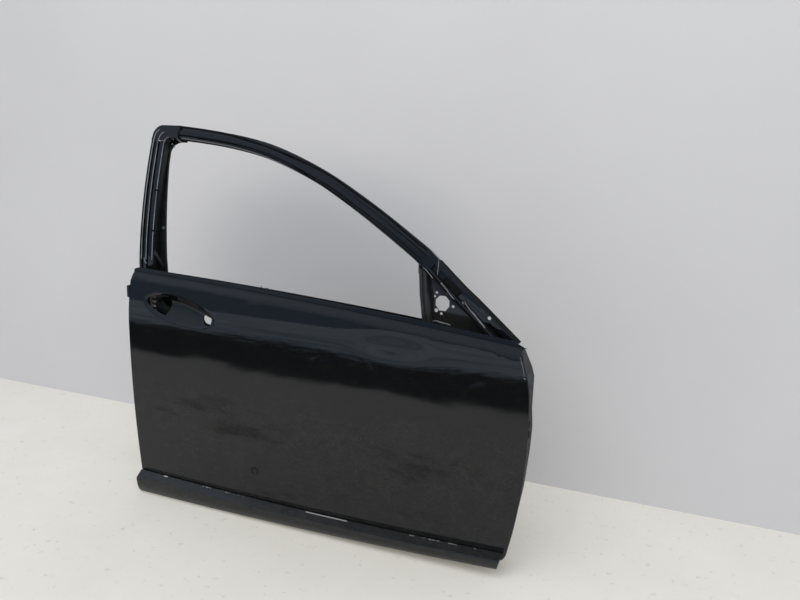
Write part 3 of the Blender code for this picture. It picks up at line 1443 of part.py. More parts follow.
def make_small_parts():
    """Screws in the pillar's channel, plugs in the hinge wall and the clip on the belt."""
    z = lerp(BELT_REAR_Z, PILLAR_TOP_Z, LOWER_SCREW_SHARE)
    x = pillar_x(z) + PILLAR_WIDTH + FRAME_SHEET + GAP + leg_width(z) / 2
    places = [(x, z, PILLAR_DEPTH - FRAME_SHEET / 2 - GAP)]
    x = gusset_edge() + LEG_TOP_WIDTH + SCREW_RADIUS * 1.3
    places.append((x, PILLAR_TOP_Z - LEG_TOP_WIDTH - SCREW_RADIUS / 4, PILLAR_DEPTH + FRAME_SHEET / 2))
    screws = []
    for x, z, depth in places:
        normal = frame_normal(z)
        seat = Vector((x, frame_y(z), z)) + normal * depth
        screws.append(cylinder(seat, seat - normal * SCREW_HEIGHT, SCREW_RADIUS, 12))
    solid_objects(["lower_frame_screw", "upper_frame_screw"], screws, BARE_STEEL)
    plugs = []
    for z in (FRONT_BULGE_Z - 3 * PLUG_RADIUS, FRONT_BULGE_Z):
        wall = hinge_wall(z - PLUG_RADIUS, z + PLUG_RADIUS)
        x = max(wall_x(foot, top, h, HINGE_Y - PLUG_RADIUS) for foot, top, h in wall) + PAN_SHEET / 2 + GAP
        plugs.append(cylinder((x, HINGE_Y, z), (x + PLUG_HEIGHT, HINGE_Y, z), PLUG_RADIUS, 16))
    solid_objects(["lower_wall_plug", "upper_wall_plug"], plugs, RUBBER)
    x = DOOR_LENGTH * 0.38
    y = skin_y(x, belt_z(x)) + SKIN_SHEET / 2
    top = belt_z(x) + GAP
    clip = cylinder((x, y, top), (x, y, top + 2 * SCREW_HEIGHT), SCREW_RADIUS / 2, 8)
    solid_objects(["belt_clip"], [clip], PLASTIC)


for old in list(bpy.data.objects):
    bpy.data.objects.remove(old)
DOOR = bpy.data.objects.new("door", None)
bpy.context.scene.collection.objects.link(DOOR)
DOOR.location = (-hinge_face_x(UPPER_HINGE_Z), -HINGE_Y, -UPPER_HINGE_Z)

make_outer_panel()
make_inner_panel()
make_sill_moulding()
make_moulding_clips()
make_header()
make_pillar()
make_frame_corner()
make_corner_gusset()
make_front_rail()
make_frame_joint()
make_mirror_post()
make_mirror_plate()
make_guide_brackets()
make_belt_rails()
make_hinge_plates()
make_check_plate()
make_latch_plate()
make_beam()
make_handle_carrier()
make_lever_comb()
make_damping_pads()
make_edge_buffer()
make_small_parts()
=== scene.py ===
"""Looks of a right front car door shell: gloss black paint, inner stampings and small fittings.

Row frame in metres: X towards the front of the car, Y into the car, Z up, with the origin on the
upper hinge face. Door heights and lengths from the solids' own modelling axes are moved by SHIFT.
"""

import math

import bmesh
import bpy
from mathutils import Matrix, Vector


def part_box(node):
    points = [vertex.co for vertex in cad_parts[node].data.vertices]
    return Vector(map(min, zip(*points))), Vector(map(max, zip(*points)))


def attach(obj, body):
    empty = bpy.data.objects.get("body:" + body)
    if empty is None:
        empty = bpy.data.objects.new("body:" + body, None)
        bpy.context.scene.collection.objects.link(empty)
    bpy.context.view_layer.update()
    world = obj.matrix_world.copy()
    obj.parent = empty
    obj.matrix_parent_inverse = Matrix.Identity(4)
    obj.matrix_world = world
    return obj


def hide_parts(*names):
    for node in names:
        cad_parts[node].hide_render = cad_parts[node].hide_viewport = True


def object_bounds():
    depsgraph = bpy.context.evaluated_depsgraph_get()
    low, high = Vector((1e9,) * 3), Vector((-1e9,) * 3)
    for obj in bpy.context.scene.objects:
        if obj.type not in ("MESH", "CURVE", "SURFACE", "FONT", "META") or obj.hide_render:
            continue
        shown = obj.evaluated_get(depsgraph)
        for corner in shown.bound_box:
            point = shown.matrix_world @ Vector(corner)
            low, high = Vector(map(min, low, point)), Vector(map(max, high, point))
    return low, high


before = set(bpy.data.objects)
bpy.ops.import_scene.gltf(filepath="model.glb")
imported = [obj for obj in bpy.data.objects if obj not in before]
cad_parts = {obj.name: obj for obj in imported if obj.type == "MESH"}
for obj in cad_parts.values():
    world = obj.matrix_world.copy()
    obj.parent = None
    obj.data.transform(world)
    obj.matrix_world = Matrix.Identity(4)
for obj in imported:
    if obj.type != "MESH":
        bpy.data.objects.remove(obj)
CAD_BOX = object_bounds()

SHIFT = Vector((1.14963, 0.076, 0.470))
FLOOR_Z = CAD_BOX[0][2]

# Camera: lens, place, azimuth, elevation and roll
LENS = 35.01
CAMERA_PLACE = (0.3594, -1.788, 0.644)
CAMERA_AZIMUTH = math.radians(21.513)
CAMERA_ELEVATION = math.radians(12.909)
CAMERA_ROLL = math.radians(-1.752)

# The skin's section, as the solids have it
DOOR_LENGTH = 1.166
WAIST_Z = 0.500
SHOULDER_Z = 0.520
BELT_REAR_Z = 0.687
BELT_FALL = 0.031
BELT_CURVE = 0.041
LOWER_TUCK = 0.036
SHOULDER_TUCK = 0.025
PLAN_CROWN = 0.006
ROLL_DEPTH = 0.011
ROLL_HEIGHT = 0.010
BELT_FLANGE = 0.012
DENT_PLACE = (0.815, 0.568)
DENT_SIZE = (0.085, 0.026)
DENT_DEPTH = 0.0055
RECESS_PLACE = (0.174, 0.585)
RECESS_HALF = (0.1205, 0.0405)
RECESS_DEPTH = 0.026
RECESS_TILT = math.radians(-8.8)
RECESS_UPPER_SHARE = 0.35
RECESS_WALL_SHARE = 0.75

# The skin as it shines in the light: a shallower dent, a softer belt roll and a gentler upper
# wall of the recess
SOFT_DENT = 0.0029
SOFT_ROLL = 0.020
SOFT_WALL_SHARE = 1.25

# How meshes are merged, smoothed and divided
MERGE_DISTANCE = 0.00001
SEAM_DISTANCE = 0.000001
SMOOTH_ANGLE = 35.0
SKIN_ANGLE = 30.0
SKIN_CUTS = 3
SLOPE_STEP = 0.0004
ALONG_CURVE = 0.86

# Colours of the finishes
BLACK = (0.0, 0.0, 0.0, 1.0)
CLEAR_COAT = (0.0040, 0.0045, 0.0050, 1.0)
ROAD_DUST = (0.060, 0.058, 0.052, 1.0)
# Pale chips, also used as a painted highlight on the moulding's ledge
BARE_CHIP_AND_HIGHLIGHT = (0.50, 0.50, 0.47, 1.0)
MATT_FILM = (0.012, 0.012, 0.011, 1.0)
PRIMER = ((0.040, 0.043, 0.046, 1.0), (0.075, 0.076, 0.074, 1.0))
RUBBED_PRIMER = (0.20, 0.19, 0.17, 1.0)
# Pale grey for the ribs: a painted highlight, partly primer where the paint is worn
RIB_HIGHLIGHT_AND_PRIMER = (0.27, 0.28, 0.29, 1.0)

# The moulding's ledge line, where bare chips and a painted highlight of its rim run, and stretches
# along X that fade in and out: start, full, ending, end
LEDGE_LINE_Y = 0.0540
LEDGE_Z = -0.45
LONG_SCRATCH_AND_HIGHLIGHT = (-0.586, -0.582, -0.462, -0.456)
REAR_CHIP = (-1.066, -1.063, -1.053, -1.050)
REAR_RUBS = (-0.97, -0.95, -0.80, -0.76)
FRONT_RUBS = (-0.30, -0.28, -0.10, -0.08)

# The ring that something round left on the lower panel
RING_PLACE = (-0.7443, -0.3217)
RING_RADIUS = 0.0098

# Places on the window frame, in the row frame
PILLAR_EDGE = ((-1.1495, -0.0055, 0.2360), (-1.1500, 0.0009, 0.2870), (-1.1510, 0.0103, 0.3380),
               (-1.1527, 0.0225, 0.3890), (-1.1552, 0.0374, 0.4400), (-1.1582, 0.0550, 0.4910),
               (-1.1620, 0.0753, 0.5420), (-1.1640, 0.0862, 0.5670))
LAND_OFFSETS = (0.0, 0.0160, 0.0370)
CORNER_TAILS = (((-1.1640, 0.0935, 0.5835), (-1.1600, 0.0985, 0.5945), (-1.1530, 0.1015, 0.6005)),
                ((-1.1470, 0.0918, 0.5800), (-1.1430, 0.0962, 0.5890), (-1.1340, 0.0988, 0.5945)),
                ((-1.1240, 0.0888, 0.5740), (-1.1190, 0.0910, 0.5785), (-1.1130, 0.0923, 0.5810)))
PILLAR_RIB_RADIUS = 0.0011
CLIP_PLACES = ((-1.1180, 0.0345, 0.4320), (-1.1130, 0.0060, 0.3190))
CLIP_REAR, CLIP_FRONT, CLIP_BOW, CLIP_RADIUS = 0.0055, 0.0070, 0.0004, 0.0024
HEADER_SEAL = ((-1.1000, 0.1150, 0.6098), (-1.0840, 0.1145, 0.6098), (-1.0700, 0.1135, 0.6085),
               (-1.0100, 0.1110, 0.6040), (-0.9143, 0.1047, 0.5932), (-0.8034, 0.0929, 0.5701),
               (-0.6768, 0.0784, 0.5357), (-0.5796, 0.0646, 0.5003), (-0.4838, 0.0474, 0.4525),
               (-0.4074, 0.0352, 0.4126), (-0.3325, 0.0223, 0.3652), (-0.2807, 0.0154, 0.3340))
HEADER_GROOVE = ((-1.0263, 0.0963, 0.5846), (-0.9739, 0.0940, 0.5785), (-0.9063, 0.0900, 0.5690),
                 (-0.7955, 0.0797, 0.5464), (-0.6710, 0.0665, 0.5086), (-0.5715, 0.0494, 0.4730),
                 (-0.4764, 0.0328, 0.4221), (-0.4006, 0.0212, 0.3815), (-0.3266, 0.0101, 0.3332),
                 (-0.2950, 0.0060, 0.3110))
CORNER_RIB = ((-0.2364, -0.0047, 0.2598), (-0.2200, -0.0060, 0.2440), (-0.2060, -0.0062, 0.2281),
              (-0.1990, -0.0050, 0.2210))
RAIL_RIB = ((-0.1809, -0.0024, 0.2176), (-0.1690, -0.0015, 0.2040), (-0.1544, -0.0020, 0.1954),
            (-0.1360, -0.0045, 0.1780), (-0.1181, -0.0068, 0.1607))
RAIL_RIB_INNER = ((-0.1745, -0.0012, 0.2180), (-0.1623, -0.0026, 0.2030),
                  (-0.1483, -0.0045, 0.1896), (-0.1344, -0.0064, 0.1762),
                  (-0.1240, -0.0074, 0.1665))
CORNER_SEAM = ((-1.0835, 0.1150, 0.6090), (-1.0835, 0.1050, 0.6015), (-1.0840, 0.0990, 0.5935),
               (-1.0850, 0.0985, 0.5850), (-1.0860, 0.1010, 0.5750))
CORNER_NUB = ((-1.1550, 0.1070, 0.6050), (-1.1440, 0.1090, 0.6095), (-1.1380, 0.1090, 0.6105))
JOINT_SEAM = ((-0.2475, 0.0040, 0.3110), (-0.2470, 0.0000, 0.2930), (-0.2480, -0.0010, 0.2790))
BELT_PIN = ((-0.7250, -0.0440, 0.1985), (-0.7250, -0.0440, 0.2075))
POST_RIB = ((-0.2890, 0.0030, 0.2935), (-0.2780, -0.0005, 0.2870), (-0.2680, -0.0018, 0.2780),
            (-0.2600, -0.0020, 0.2690))
PLATE_FOOT = ((-0.2620, 0.0110, 0.1560), (-0.2500, 0.0112, 0.1580), (-0.2380, 0.0110, 0.1556),
              (-0.2250, 0.0108, 0.1540), (-0.2120, 0.0104, 0.1520))
FOOT_EDGE = ((-1.1390, -0.0060, 0.2400), (-1.1370, -0.0068, 0.2310), (-1.1320, -0.0062, 0.2240))
FOOT_EDGE_RADIUS = 0.0012

# Ribs and seals in the order they are made: name, places, drawn smooth, radius, finish, node
RIBS = (("header_seal", HEADER_SEAL, True, 0.0034, "rubber", "header_profile"),
        # A dead black bead in the header's groove: painted shade
        ("header_groove_shade_bead", HEADER_GROOVE, True, 0.0014, "rubber", "header_profile"),
        ("corner_rib", CORNER_RIB, True, 0.0017, "rubbed_and_highlit", "front_rail"),
        ("rail_rib", RAIL_RIB, True, 0.0017, "rubbed_and_highlit", "front_rail"),
        ("corner_seam", CORNER_SEAM, False, 0.0030, "rubber", "frame_corner"),
        ("corner_nub", CORNER_NUB, False, 0.0022, "rubber", "frame_corner"),
        ("joint_seam", JOINT_SEAM, False, 0.0008, "rubbed_and_highlit", "frame_joint"),
        ("belt_pin", BELT_PIN, False, 0.0009, "rubber", "belt_clip"),
        ("rail_rib_inner", RAIL_RIB_INNER, True, 0.0012, "rubbed_and_highlit", "front_rail"),
        ("post_rib", POST_RIB, True, 0.0010, "rubbed_and_highlit", "mirror_plate"),
        ("plate_foot_bead", PLATE_FOOT, True, 0.0016, "rubbed_and_highlit", "mirror_plate"))

# Worn lines on the skin's front edge, whose pale finish is also a painted highlight: name,
# places as X and Z, radius. Their middle stands proud of the skin by a share of the radius
EDGE_LINES = (("front_edge_rub_and_highlight", ((-0.0140, 0.1170), (-0.0085, 0.1027), (-0.0035, 0.0867),
                                  (-0.0005, 0.0740)), 0.0005),
              ("front_edge_nick", ((-0.0012, 0.0690), (0.0012, 0.0675), (0.0030, 0.0668)), 0.0009))
EDGE_LINE_LIFT = 0.3

# The hairline groove below the belt edge, in the modelling axes. Its dead black line is painted
# shade
CREASE_START = 0.012
CREASE_LENGTH = DOOR_LENGTH - 0.030
CREASE_STEPS = 13
CREASE_RISE = 0.001
CREASE_SINK = 0.0001
CREASE_RADIUS = 0.0007

# Small sheet-metal pieces: name, outline, finish, node
SHEET_WALL = 0.0012
SHEET_EDGE = 0.0003
SHEETS = (("corner_web", ((-0.3060, 0.0200, 0.3020), (-0.2700, 0.0200, 0.3160),
                          (-0.2350, 0.0200, 0.2900), (-0.2400, 0.0200, 0.2620),
                          (-0.2800, 0.0200, 0.2560), (-0.3060, 0.0200, 0.2740)),
           "satin", "mirror_plate"),
          # A dead black sheet in the mirror corner's pocket: painted shade
          ("corner_pocket_shade", ((-0.2345, -0.0030, 0.2700), (-0.2200, -0.0020, 0.2760),
                             (-0.1800, -0.0060, 0.2420), (-0.1960, -0.0070, 0.2290)),
           "rubber", "front_rail"),
          ("foot_strap", ((-1.1120, 0.0000, 0.2580), (-1.1060, 0.0040, 0.2620),
                          (-1.0880, 0.0220, 0.2150), (-1.0950, 0.0200, 0.2110)),
           "satin", "corner_gusset"))

# Pan-head screws; the drive's sizes and the rim's round are shares of the radius or the height,
# and a face whose normal has a Y below SCREW_OUTWARD looks out of the car
SCREW_RADIUS = 0.0050
SCREW_HEIGHT = 0.0026
SCREW_LIFT = 0.0008
SCREW_OUTWARD = -0.7
DRIVE_RIM = 0.28
DRIVE_DISH = 0.25
DRIVE_WALL = 0.30
DRIVE_DEPTH = 0.7
RIM_ROUND = 0.08

# The stage: floor, wall, what gloss paint sees of the yard, and the sky
STAGE_SIZE = 60.0
WALL_Y = 0.515
FLOOR_PALE = ((0.70, 0.68, 0.62, 1.0), (0.84, 0.82, 0.78, 1.0))
FLOOR_GRIT = (0.40, 0.38, 0.35, 1.0)
FLOOR_LIFT = (0.165, 0.150, 0.120, 1.0)
WALL_PALE = ((0.585, 0.595, 0.615, 1.0), (0.685, 0.695, 0.710, 1.0))
WALL_LIFT = (0.105, 0.090, 0.075, 1.0)
# A painted shade on the wall behind the window: its middle, its colour and how strong it is
SHADE_PATCH_PLACE = (-0.80, 0.12)
SHADE_PATCH_COLOUR = (0.385, 0.425, 0.470, 1.0)
SHADE_PATCH_STRENGTH = 0.65
HEDGE_REACH = (-1.00, -0.88)
YONDER_REACH = (0.90, 1.06)
LEAVES = ((0.004, 0.004, 0.004, 1.0), (0.040, 0.055, 0.030, 1.0))
YARD_SKY = ((0.26, 0.36, 0.49, 1.0), (0.85, 0.97, 1.12, 1.0))
SKYLINE = (0.17, 0.25, 0.38, 1.0)
OPEN_SKY = ((0.30, 0.39, 0.52, 1.0), (0.44, 0.53, 0.66, 1.0))
SKY_LIGHT = (0.64, 0.66, 0.71, 1.0)
SKY_SEEN = (0.60, 0.62, 0.65, 1.0)
LAMP_POWER = 60.0
LAMP_SIZE = 3.0
LAMP_PLACE = (-0.4, -2.2, 3.2)
LAMP_TILT = math.radians(35.0)

# Which solid takes which finish; the rest are primed steel
GLOSS_NODES = ("header_profile", "pillar_profile", "frame_corner", "frame_joint")
SATIN_NODES = ("header_channel", "mirror_post")
SHADED_NODES = ("pillar_channel", "corner_gusset", "handle_carrier")
SCREWS = ("lower_frame_screw", "upper_frame_screw")
OWN_FINISH = ("outer_panel", "sill_moulding", "front_rail", "mirror_plate", "lever_comb",
              "inner_panel")
RUBBERS = ("edge_buffer", "lower_wall_plug", "upper_wall_plug")
PADS = ("front_damping_pad", "rear_damping_pad", "waist_damping_pad")
PLASTICS = ("belt_clip",)


def smoothstep(t):
    t = min(max(t, 0.0), 1.0)
    return t * t * (3.0 - 2.0 * t)


def belt_z(x):
    t = x / DOOR_LENGTH
    return BELT_REAR_Z - BELT_FALL * t - BELT_CURVE * t * t


def recess_y(x, z, upper_share=RECESS_WALL_SHARE):
    """The hand recess's depth. Its wall exponent turns into upper_share above the middle."""
    turned = Vector((x - RECESS_PLACE[0], z - RECESS_PLACE[1])) @ Matrix.Rotation(RECESS_TILT, 2)
    a, b = turned.x / RECESS_HALF[0], turned.y / RECESS_HALF[1]
    inside = max(1.0 - a * a - b * b, 0.0)
    share = RECESS_WALL_SHARE + (upper_share - RECESS_WALL_SHARE) * smoothstep(b * 2.0)
    return RECESS_DEPTH * inside ** share * (1.0 + RECESS_UPPER_SHARE * b)


def skin_y(x, z, dent=DENT_DEPTH, roll=ROLL_HEIGHT, upper_share=RECESS_WALL_SHARE):
    """The skin's outer face in the modelling axes."""
    half = DOOR_LENGTH / 2
    y = PLAN_CROWN * ((x - half) / half) ** 2
    y += LOWER_TUCK * (max(WAIST_Z - z, 0.0) / WAIST_Z) ** 2
    y += SHOULDER_TUCK * (max(z - SHOULDER_Z, 0.0) / (BELT_REAR_Z - SHOULDER_Z)) ** 2
    y += ROLL_DEPTH * smoothstep((z - belt_z(x) + BELT_FLANGE + roll) / roll)
    across = ((x - DENT_PLACE[0]) / DENT_SIZE[0]) ** 2
    along = ((z - DENT_PLACE[1]) / DENT_SIZE[1]) ** 2
    return y + dent * math.exp(-across - along) + recess_y(x, z, upper_share)


def row_y(point):
    """The skin's outer face in the row frame, beside a point given there."""
    return skin_y(point.x + SHIFT.x, point.z + SHIFT.z) - SHIFT.y


def soft_y(point):
    """The same face as it shines."""
    x, z = point.x + SHIFT.x, point.z + SHIFT.z
    return skin_y(x, z, SOFT_DENT, SOFT_ROLL, SOFT_WALL_SHARE) - SHIFT.y


class Flow:
    """A socket that takes part in sums: its operators add Math nodes."""

    def __init__(self, shade, socket):
        self.shade = shade
        self.socket = socket

    def sum(self, operation, *others):
        return self.shade.node("ShaderNodeMath", {"operation": operation}, dict(enumerate(others)))

    def __add__(self, other):
        return self.sum("ADD", self, other)

    def __sub__(self, other):
        return self.sum("SUBTRACT", self, other)

    def __rsub__(self, other):
        return self.sum("SUBTRACT", other, self)

    def __mul__(self, other):
        return self.sum("MULTIPLY", self, other)

    def __pow__(self, other):
        return self.sum("POWER", self, other)

    __radd__ = __add__
    __rmul__ = __mul__

    def above(self, level):
        return self.sum("GREATER_THAN", self, level)

    def least(self, other):
        return self.sum("MINIMUM", self, other)

    def size(self):
        return self.sum("ABSOLUTE", self)

    def fade(self, low, high):
        """0 up to low, 1 from high, smooth between."""
        sockets = {"Value": self, "From Min": low, "From Max": high}
        return self.shade.node("ShaderNodeMapRange", {"interpolation_type": "SMOOTHSTEP"}, sockets)

    def band(self, start, full, ending, end):
        """0 up to start and from end, 1 between full and ending."""
        return self.fade(start, full) * (1.0 - self.fade(ending, end))


class Shade:
    """A node tree. node() adds any node, with its settings first and its sockets after."""

    def __init__(self, tree):
        self.tree = tree

    def node(self, kind, settings=None, sockets=None, output=0):
        made = self.tree.nodes.new(kind)
        for name, value in (settings or {}).items():
            setattr(made, name, value)
        for name, value in (sockets or {}).items():
            self.feed(made.inputs[name], value)
        return Flow(self, made.outputs[output])

    def feed(self, socket, value):
        if isinstance(value, Flow):
            self.tree.links.new(value.socket, socket)
        else:
            socket.default_value = value

    def finish(self, colour, rough, normal=None):
        """Feeds the shader's colour, roughness and relief, and hands back the material."""
        self.feed(self.shader.inputs["Base Color"], colour)
        self.feed(self.shader.inputs["Roughness"], rough)
        if normal is not None:
            self.feed(self.shader.inputs["Normal"], normal)
        return self.material

    def face(self):
        return Flow(self, self.shader.outputs[0])

    def show(self, shader):
        """Puts a mixed shader on the surface in the place of the plain one."""
        self.feed(self.tree.nodes["Material Output"].inputs["Surface"], shader)

    def place(self):
        return self.node("ShaderNodeTexCoord", output="Object")

    def parts(self):
        """The three coordinates of a place on the piece."""
        place = self.place()
        return [self.node("ShaderNodeSeparateXYZ", None, {0: place}, i) for i in range(3)]

    def ray(self, kind):
        return self.node("ShaderNodeLightPath", output=kind)

    def noise(self, scale, detail=3.0, rough=0.5, stretch=(1.0, 1.0, 1.0)):
        place = self.node("ShaderNodeMapping", None, {"Vector": self.place(), "Scale": stretch})
        sockets = {"Vector": place, "Scale": scale, "Detail": detail, "Roughness": rough}
        return self.node("ShaderNodeTexNoise", None, sockets)

    def blend(self, share, a, b):
        """A colour share of the way from a to b."""
        return self.node("ShaderNodeMix", {"data_type": "RGBA"}, {0: share, 6: a, 7: b}, 2)

    def cover(self, mask, colour):
        """A matt film of a colour over the shader wherever the mask is."""
        film = self.node("ShaderNodeBsdfDiffuse", None, {"Color": colour})
        self.show(self.node("ShaderNodeMixShader", None, {0: mask, 1: self.face(), 2: film}))

    def bump(self, height, distance, strength=1.0):
        sockets = {"Height": height, "Distance": distance, "Strength": strength}
        return self.node("ShaderNodeBump", None, sockets)


def paint(name, **sockets):
    """A material of its own and its node tree; the sockets are constants of the shader."""
    material = bpy.data.materials.new(name)
    material.use_nodes = True
    shade = Shade(material.node_tree)
    shade.material = material
    shade.shader = material.node_tree.nodes["Principled BSDF"]
    for socket, value in sockets.items():
        shade.shader.inputs[socket.replace("_", " ")].default_value = value
    return shade


def grey(level, blue=1.0):
    return (level, level, level * blue, 1.0)


def gloss_black(name, dust=0.35, wear_and_highlight=None, stain_and_shade=None, haze=0.0):
    """Old clear-coated black: orange peel, dust that thickens downwards, fine scratches."""
    shade = paint(name, IOR=1.5)
    x, y, z = shade.parts()
    film = shade.noise(26.0, 6.0, 0.70).fade(0.36, 0.72)
    mottle = shade.noise(90.0, 5.0, 0.80, (0.45, 1.0, 1.2)).fade(0.34, 0.72)
    specks = shade.noise(520.0, 1.0, 0.5).fade(0.45, 0.78)
    low = 1.0 - z.fade(FLOOR_Z + 0.30, FLOOR_Z + 0.52)
    dirt = (film * 0.22 + mottle * 0.28 + specks * 0.50) * (low * 0.75 + 0.25) * dust + haze
    colour = shade.blend(dirt, CLEAR_COAT, ROAD_DUST)
    scratch = shade.noise(240.0, 2.0, 0.5, (0.06, 1.0, 1.0)).fade(0.66, 0.70)
    rough = 0.04 + dirt * 0.35 + scratch * 0.04
    # The wear mask also carries a painted highlight: the light line on the moulding's ledge.
    if wear_and_highlight is not None:
        mask = wear_and_highlight(shade, x, y, z)
        colour = shade.blend(mask, colour, BARE_CHIP_AND_HIGHLIGHT)
        rough = rough + mask * 0.4
    peel = shade.noise(330.0, 1.0, 0.5) * 0.00001 + shade.noise(16.0, 2.0, 0.5) * 0.00012
    shade.finish(colour, rough, shade.bump(peel, 1.0, 0.6))
    # Painted shade comes in here too, as a matt black film: the front rail's faces that look up.
    if stain_and_shade is not None:
        shade.cover(stain_and_shade(shade, x, y, z), MATT_FILM)
    return shade.material


# Masks of wear, stain, painted shade and painted highlight: each takes the node tree and the three
# parts of a place
def painted_shade_on_top(shade, x, y, z):
    """Painted shade: a matt black film over the faces that look up, in place of the light they
    would catch.
    """
    normal = shade.node("ShaderNodeNewGeometry", output="Normal")
    up = shade.node("ShaderNodeSeparateXYZ", None, {0: normal}, 2)
    return up.fade(0.40, 0.60) * 0.92


def ledge_chips_and_highlight(shade, x, y, z):
    """Bare chips and one long scratch along the moulding's ledge, beside the skin; the same light
    line is also a painted highlight of the ledge's rim.
    """
    along = x + SHIFT.x - DOOR_LENGTH / 2
    bow = along * along * (PLAN_CROWN / (DOOR_LENGTH / 2) ** 2)
    line = 1.0 - (y - bow + LEDGE_LINE_Y).size().fade(0.0008, 0.0020)
    broken = shade.noise(90.0, 3.0, 0.6).fade(0.52, 0.60)
    marks = x.band(*LONG_SCRATCH_AND_HIGHLIGHT) * 0.75 + x.band(*REAR_RUBS) * broken * 0.5
    marks = marks + x.band(*REAR_CHIP) + x.band(*FRONT_RUBS) * broken * 0.4
    return line * marks.least(1.0) * z.above(LEDGE_Z)


def dried_marks(shade, x, y, z):
    """Specks, smears and a ring of dried dirt on the lower panel."""
    a, b = x - RING_PLACE[0], z - RING_PLACE[1]
    reach = (a * a + b * b) ** 0.5
    ring = 1.0 - (reach - RING_RADIUS).size().fade(0.0022, 0.0042)
    ring = ring * (shade.noise(60.0, 3.0, 0.6).fade(0.30, 0.55) * 0.6 + 0.2)
    specks = shade.noise(150.0, 3.0, 0.65).fade(0.63, 0.70)
    specks = specks * shade.noise(11.0, 4.0, 0.6).fade(0.35, 0.65)
    low = 1.0 - z.fade(-0.10, 0.02)
    smears = shade.noise(4.5, 7.0, 0.75, (0.5, 1.0, 1.7)).fade(0.53, 0.63)
    smears = smears * (1.0 - z.fade(-0.20, 0.0))
    return (specks * low * 0.45 + smears * 0.42 + ring * 0.8).least(1.0)


def pan_runs(shade, x, y, z):
    """Rain runs and grease rubs on the pan's broad inner face."""
    runs = shade.noise(30.0, 4.0, 0.6, (1.0, 1.0, 0.06)).fade(0.54, 0.66)
    rubs = shade.noise(12.0, 6.0, 0.7, (1.0, 1.0, 0.6)).fade(0.56, 0.66)
    return (runs * 0.35 + rubs * 0.5).least(1.0)


def satin_black(name, level=0.016, rough=0.32, shine=0.5, wear_and_highlight=None):
    """Thin inner paint: less gloss, overspray grain, clouds of dust."""
    shade = paint(name, IOR=1.5, Specular_IOR_Level=shine)
    cloud = shade.noise(14.0, 5.0, 0.6).fade(0.35, 0.75)
    grain = shade.noise(700.0, 2.0, 0.5)
    colour = shade.blend(cloud, grey(level), (level * 2.4, level * 2.3, level * 2.1, 1.0))
    dull = cloud * 0.18 + grain * 0.05
    if wear_and_highlight is not None:
        mask = wear_and_highlight(shade, *shade.parts())
        colour = shade.blend(mask, colour, (level * 4.0, level * 3.9, level * 3.6, 1.0))
        dull = dull + mask * 0.2
    return shade.finish(colour, rough + dull, shade.bump(grain, 0.00002, 0.5))


def primed_steel(name):
    """Dark electro-coated steel with rub marks down to lighter primer."""
    shade = paint(name)
    cloud = shade.noise(22.0, 5.0, 0.6).fade(0.40, 0.72)
    rubs = shade.noise(90.0, 3.0, 0.6, (0.15, 1.0, 1.0)).fade(0.62, 0.70)
    colour = shade.blend(rubs * 0.6, shade.blend(cloud, *PRIMER), RUBBED_PRIMER)
    normal = shade.bump(shade.noise(500.0), 0.00003, 0.5)
    return shade.finish(colour, 0.48 + cloud * 0.15 - rubs * 0.1, normal)


def moulded_black(name, level=0.018, rough=0.5):
    """Grained black plastic or rubber with a faded bloom."""
    shade = paint(name)
    bloom = shade.noise(60.0, 4.0, 0.6).fade(0.40, 0.75)
    grain = shade.noise(1400.0, 2.0, 0.5)
    colour = shade.blend(bloom, grey(level), grey(level * 2.2))
    return shade.finish(colour, rough + bloom * 0.15, shade.bump(grain, 0.00004, 0.5))


def bare_screw(name):
    """Zinc-plated steel with dull patches."""
    shade = paint(name, Metallic=1.0)
    dull = shade.noise(300.0, 4.0, 0.6).fade(0.35, 0.7)
    return shade.finish(shade.blend(dull, grey(0.62), grey(0.34, 0.9)), 0.22 + dull * 0.3)


def highlight_and_wear_edge(name):
    """Painted highlight along a rib: black paint that turns pale grey in noise patches, for the
    shine on its edge, with the paint partly worn through to primer.
    """
    shade = paint(name, IOR=1.5)
    # Painted highlight: the pale patches stand for the shine on the rib's edge, partly worn paint
    rub = shade.noise(22.0, 4.0, 0.6).fade(0.19, 0.59)
    normal = shade.bump(shade.noise(600.0), 0.00002, 0.4)
    return shade.finish(shade.blend(rub, grey(0.060), RIB_HIGHLIGHT_AND_PRIMER), 0.18 + rub * 0.25, normal)


def dull_rubber_and_shade(name):
    """Dead black sealing rubber that shines almost nowhere. Laid in a groove or a pocket, the same
    black is painted shade.
    """
    shade = paint(name, Specular_IOR_Level=0.12)
    bloom = shade.noise(80.0, 4.0, 0.6).fade(0.45, 0.8)
    normal = shade.bump(shade.noise(900.0), 0.00004, 0.5)
    return shade.finish(shade.blend(bloom, grey(0.005), grey(0.016)), 0.7 + bloom * 0.2, normal)


def bitumen(name):
    """Soft bitumen sheet with a pebbled face."""
    shade = paint(name)
    pebble = shade.noise(260.0, 3.0, 0.6)
    colour = shade.blend(pebble, grey(0.020), grey(0.045))
    return shade.finish(colour, 0.75 + pebble * 0.2, shade.bump(pebble, 0.0004, 0.6))


def pick(piece):
    """Makes one piece the only selected and active one."""
    bpy.ops.object.select_all(action="DESELECT")
    piece.select_set(True)
    bpy.context.view_layer.objects.active = piece


def own(piece, node):
    """Rides a piece on the door."""
    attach(piece, "root")
    node + "_finish"


def coat(piece, material):
    piece.data.materials.clear()
    piece.data.materials.append(material)


def apply_modifier(piece, name, kind, **settings):
    modifier = piece.modifiers.new(name, kind)
    for setting, value in settings.items():
        setattr(modifier, setting, value)
    bpy.ops.object.modifier_apply(modifier=name)


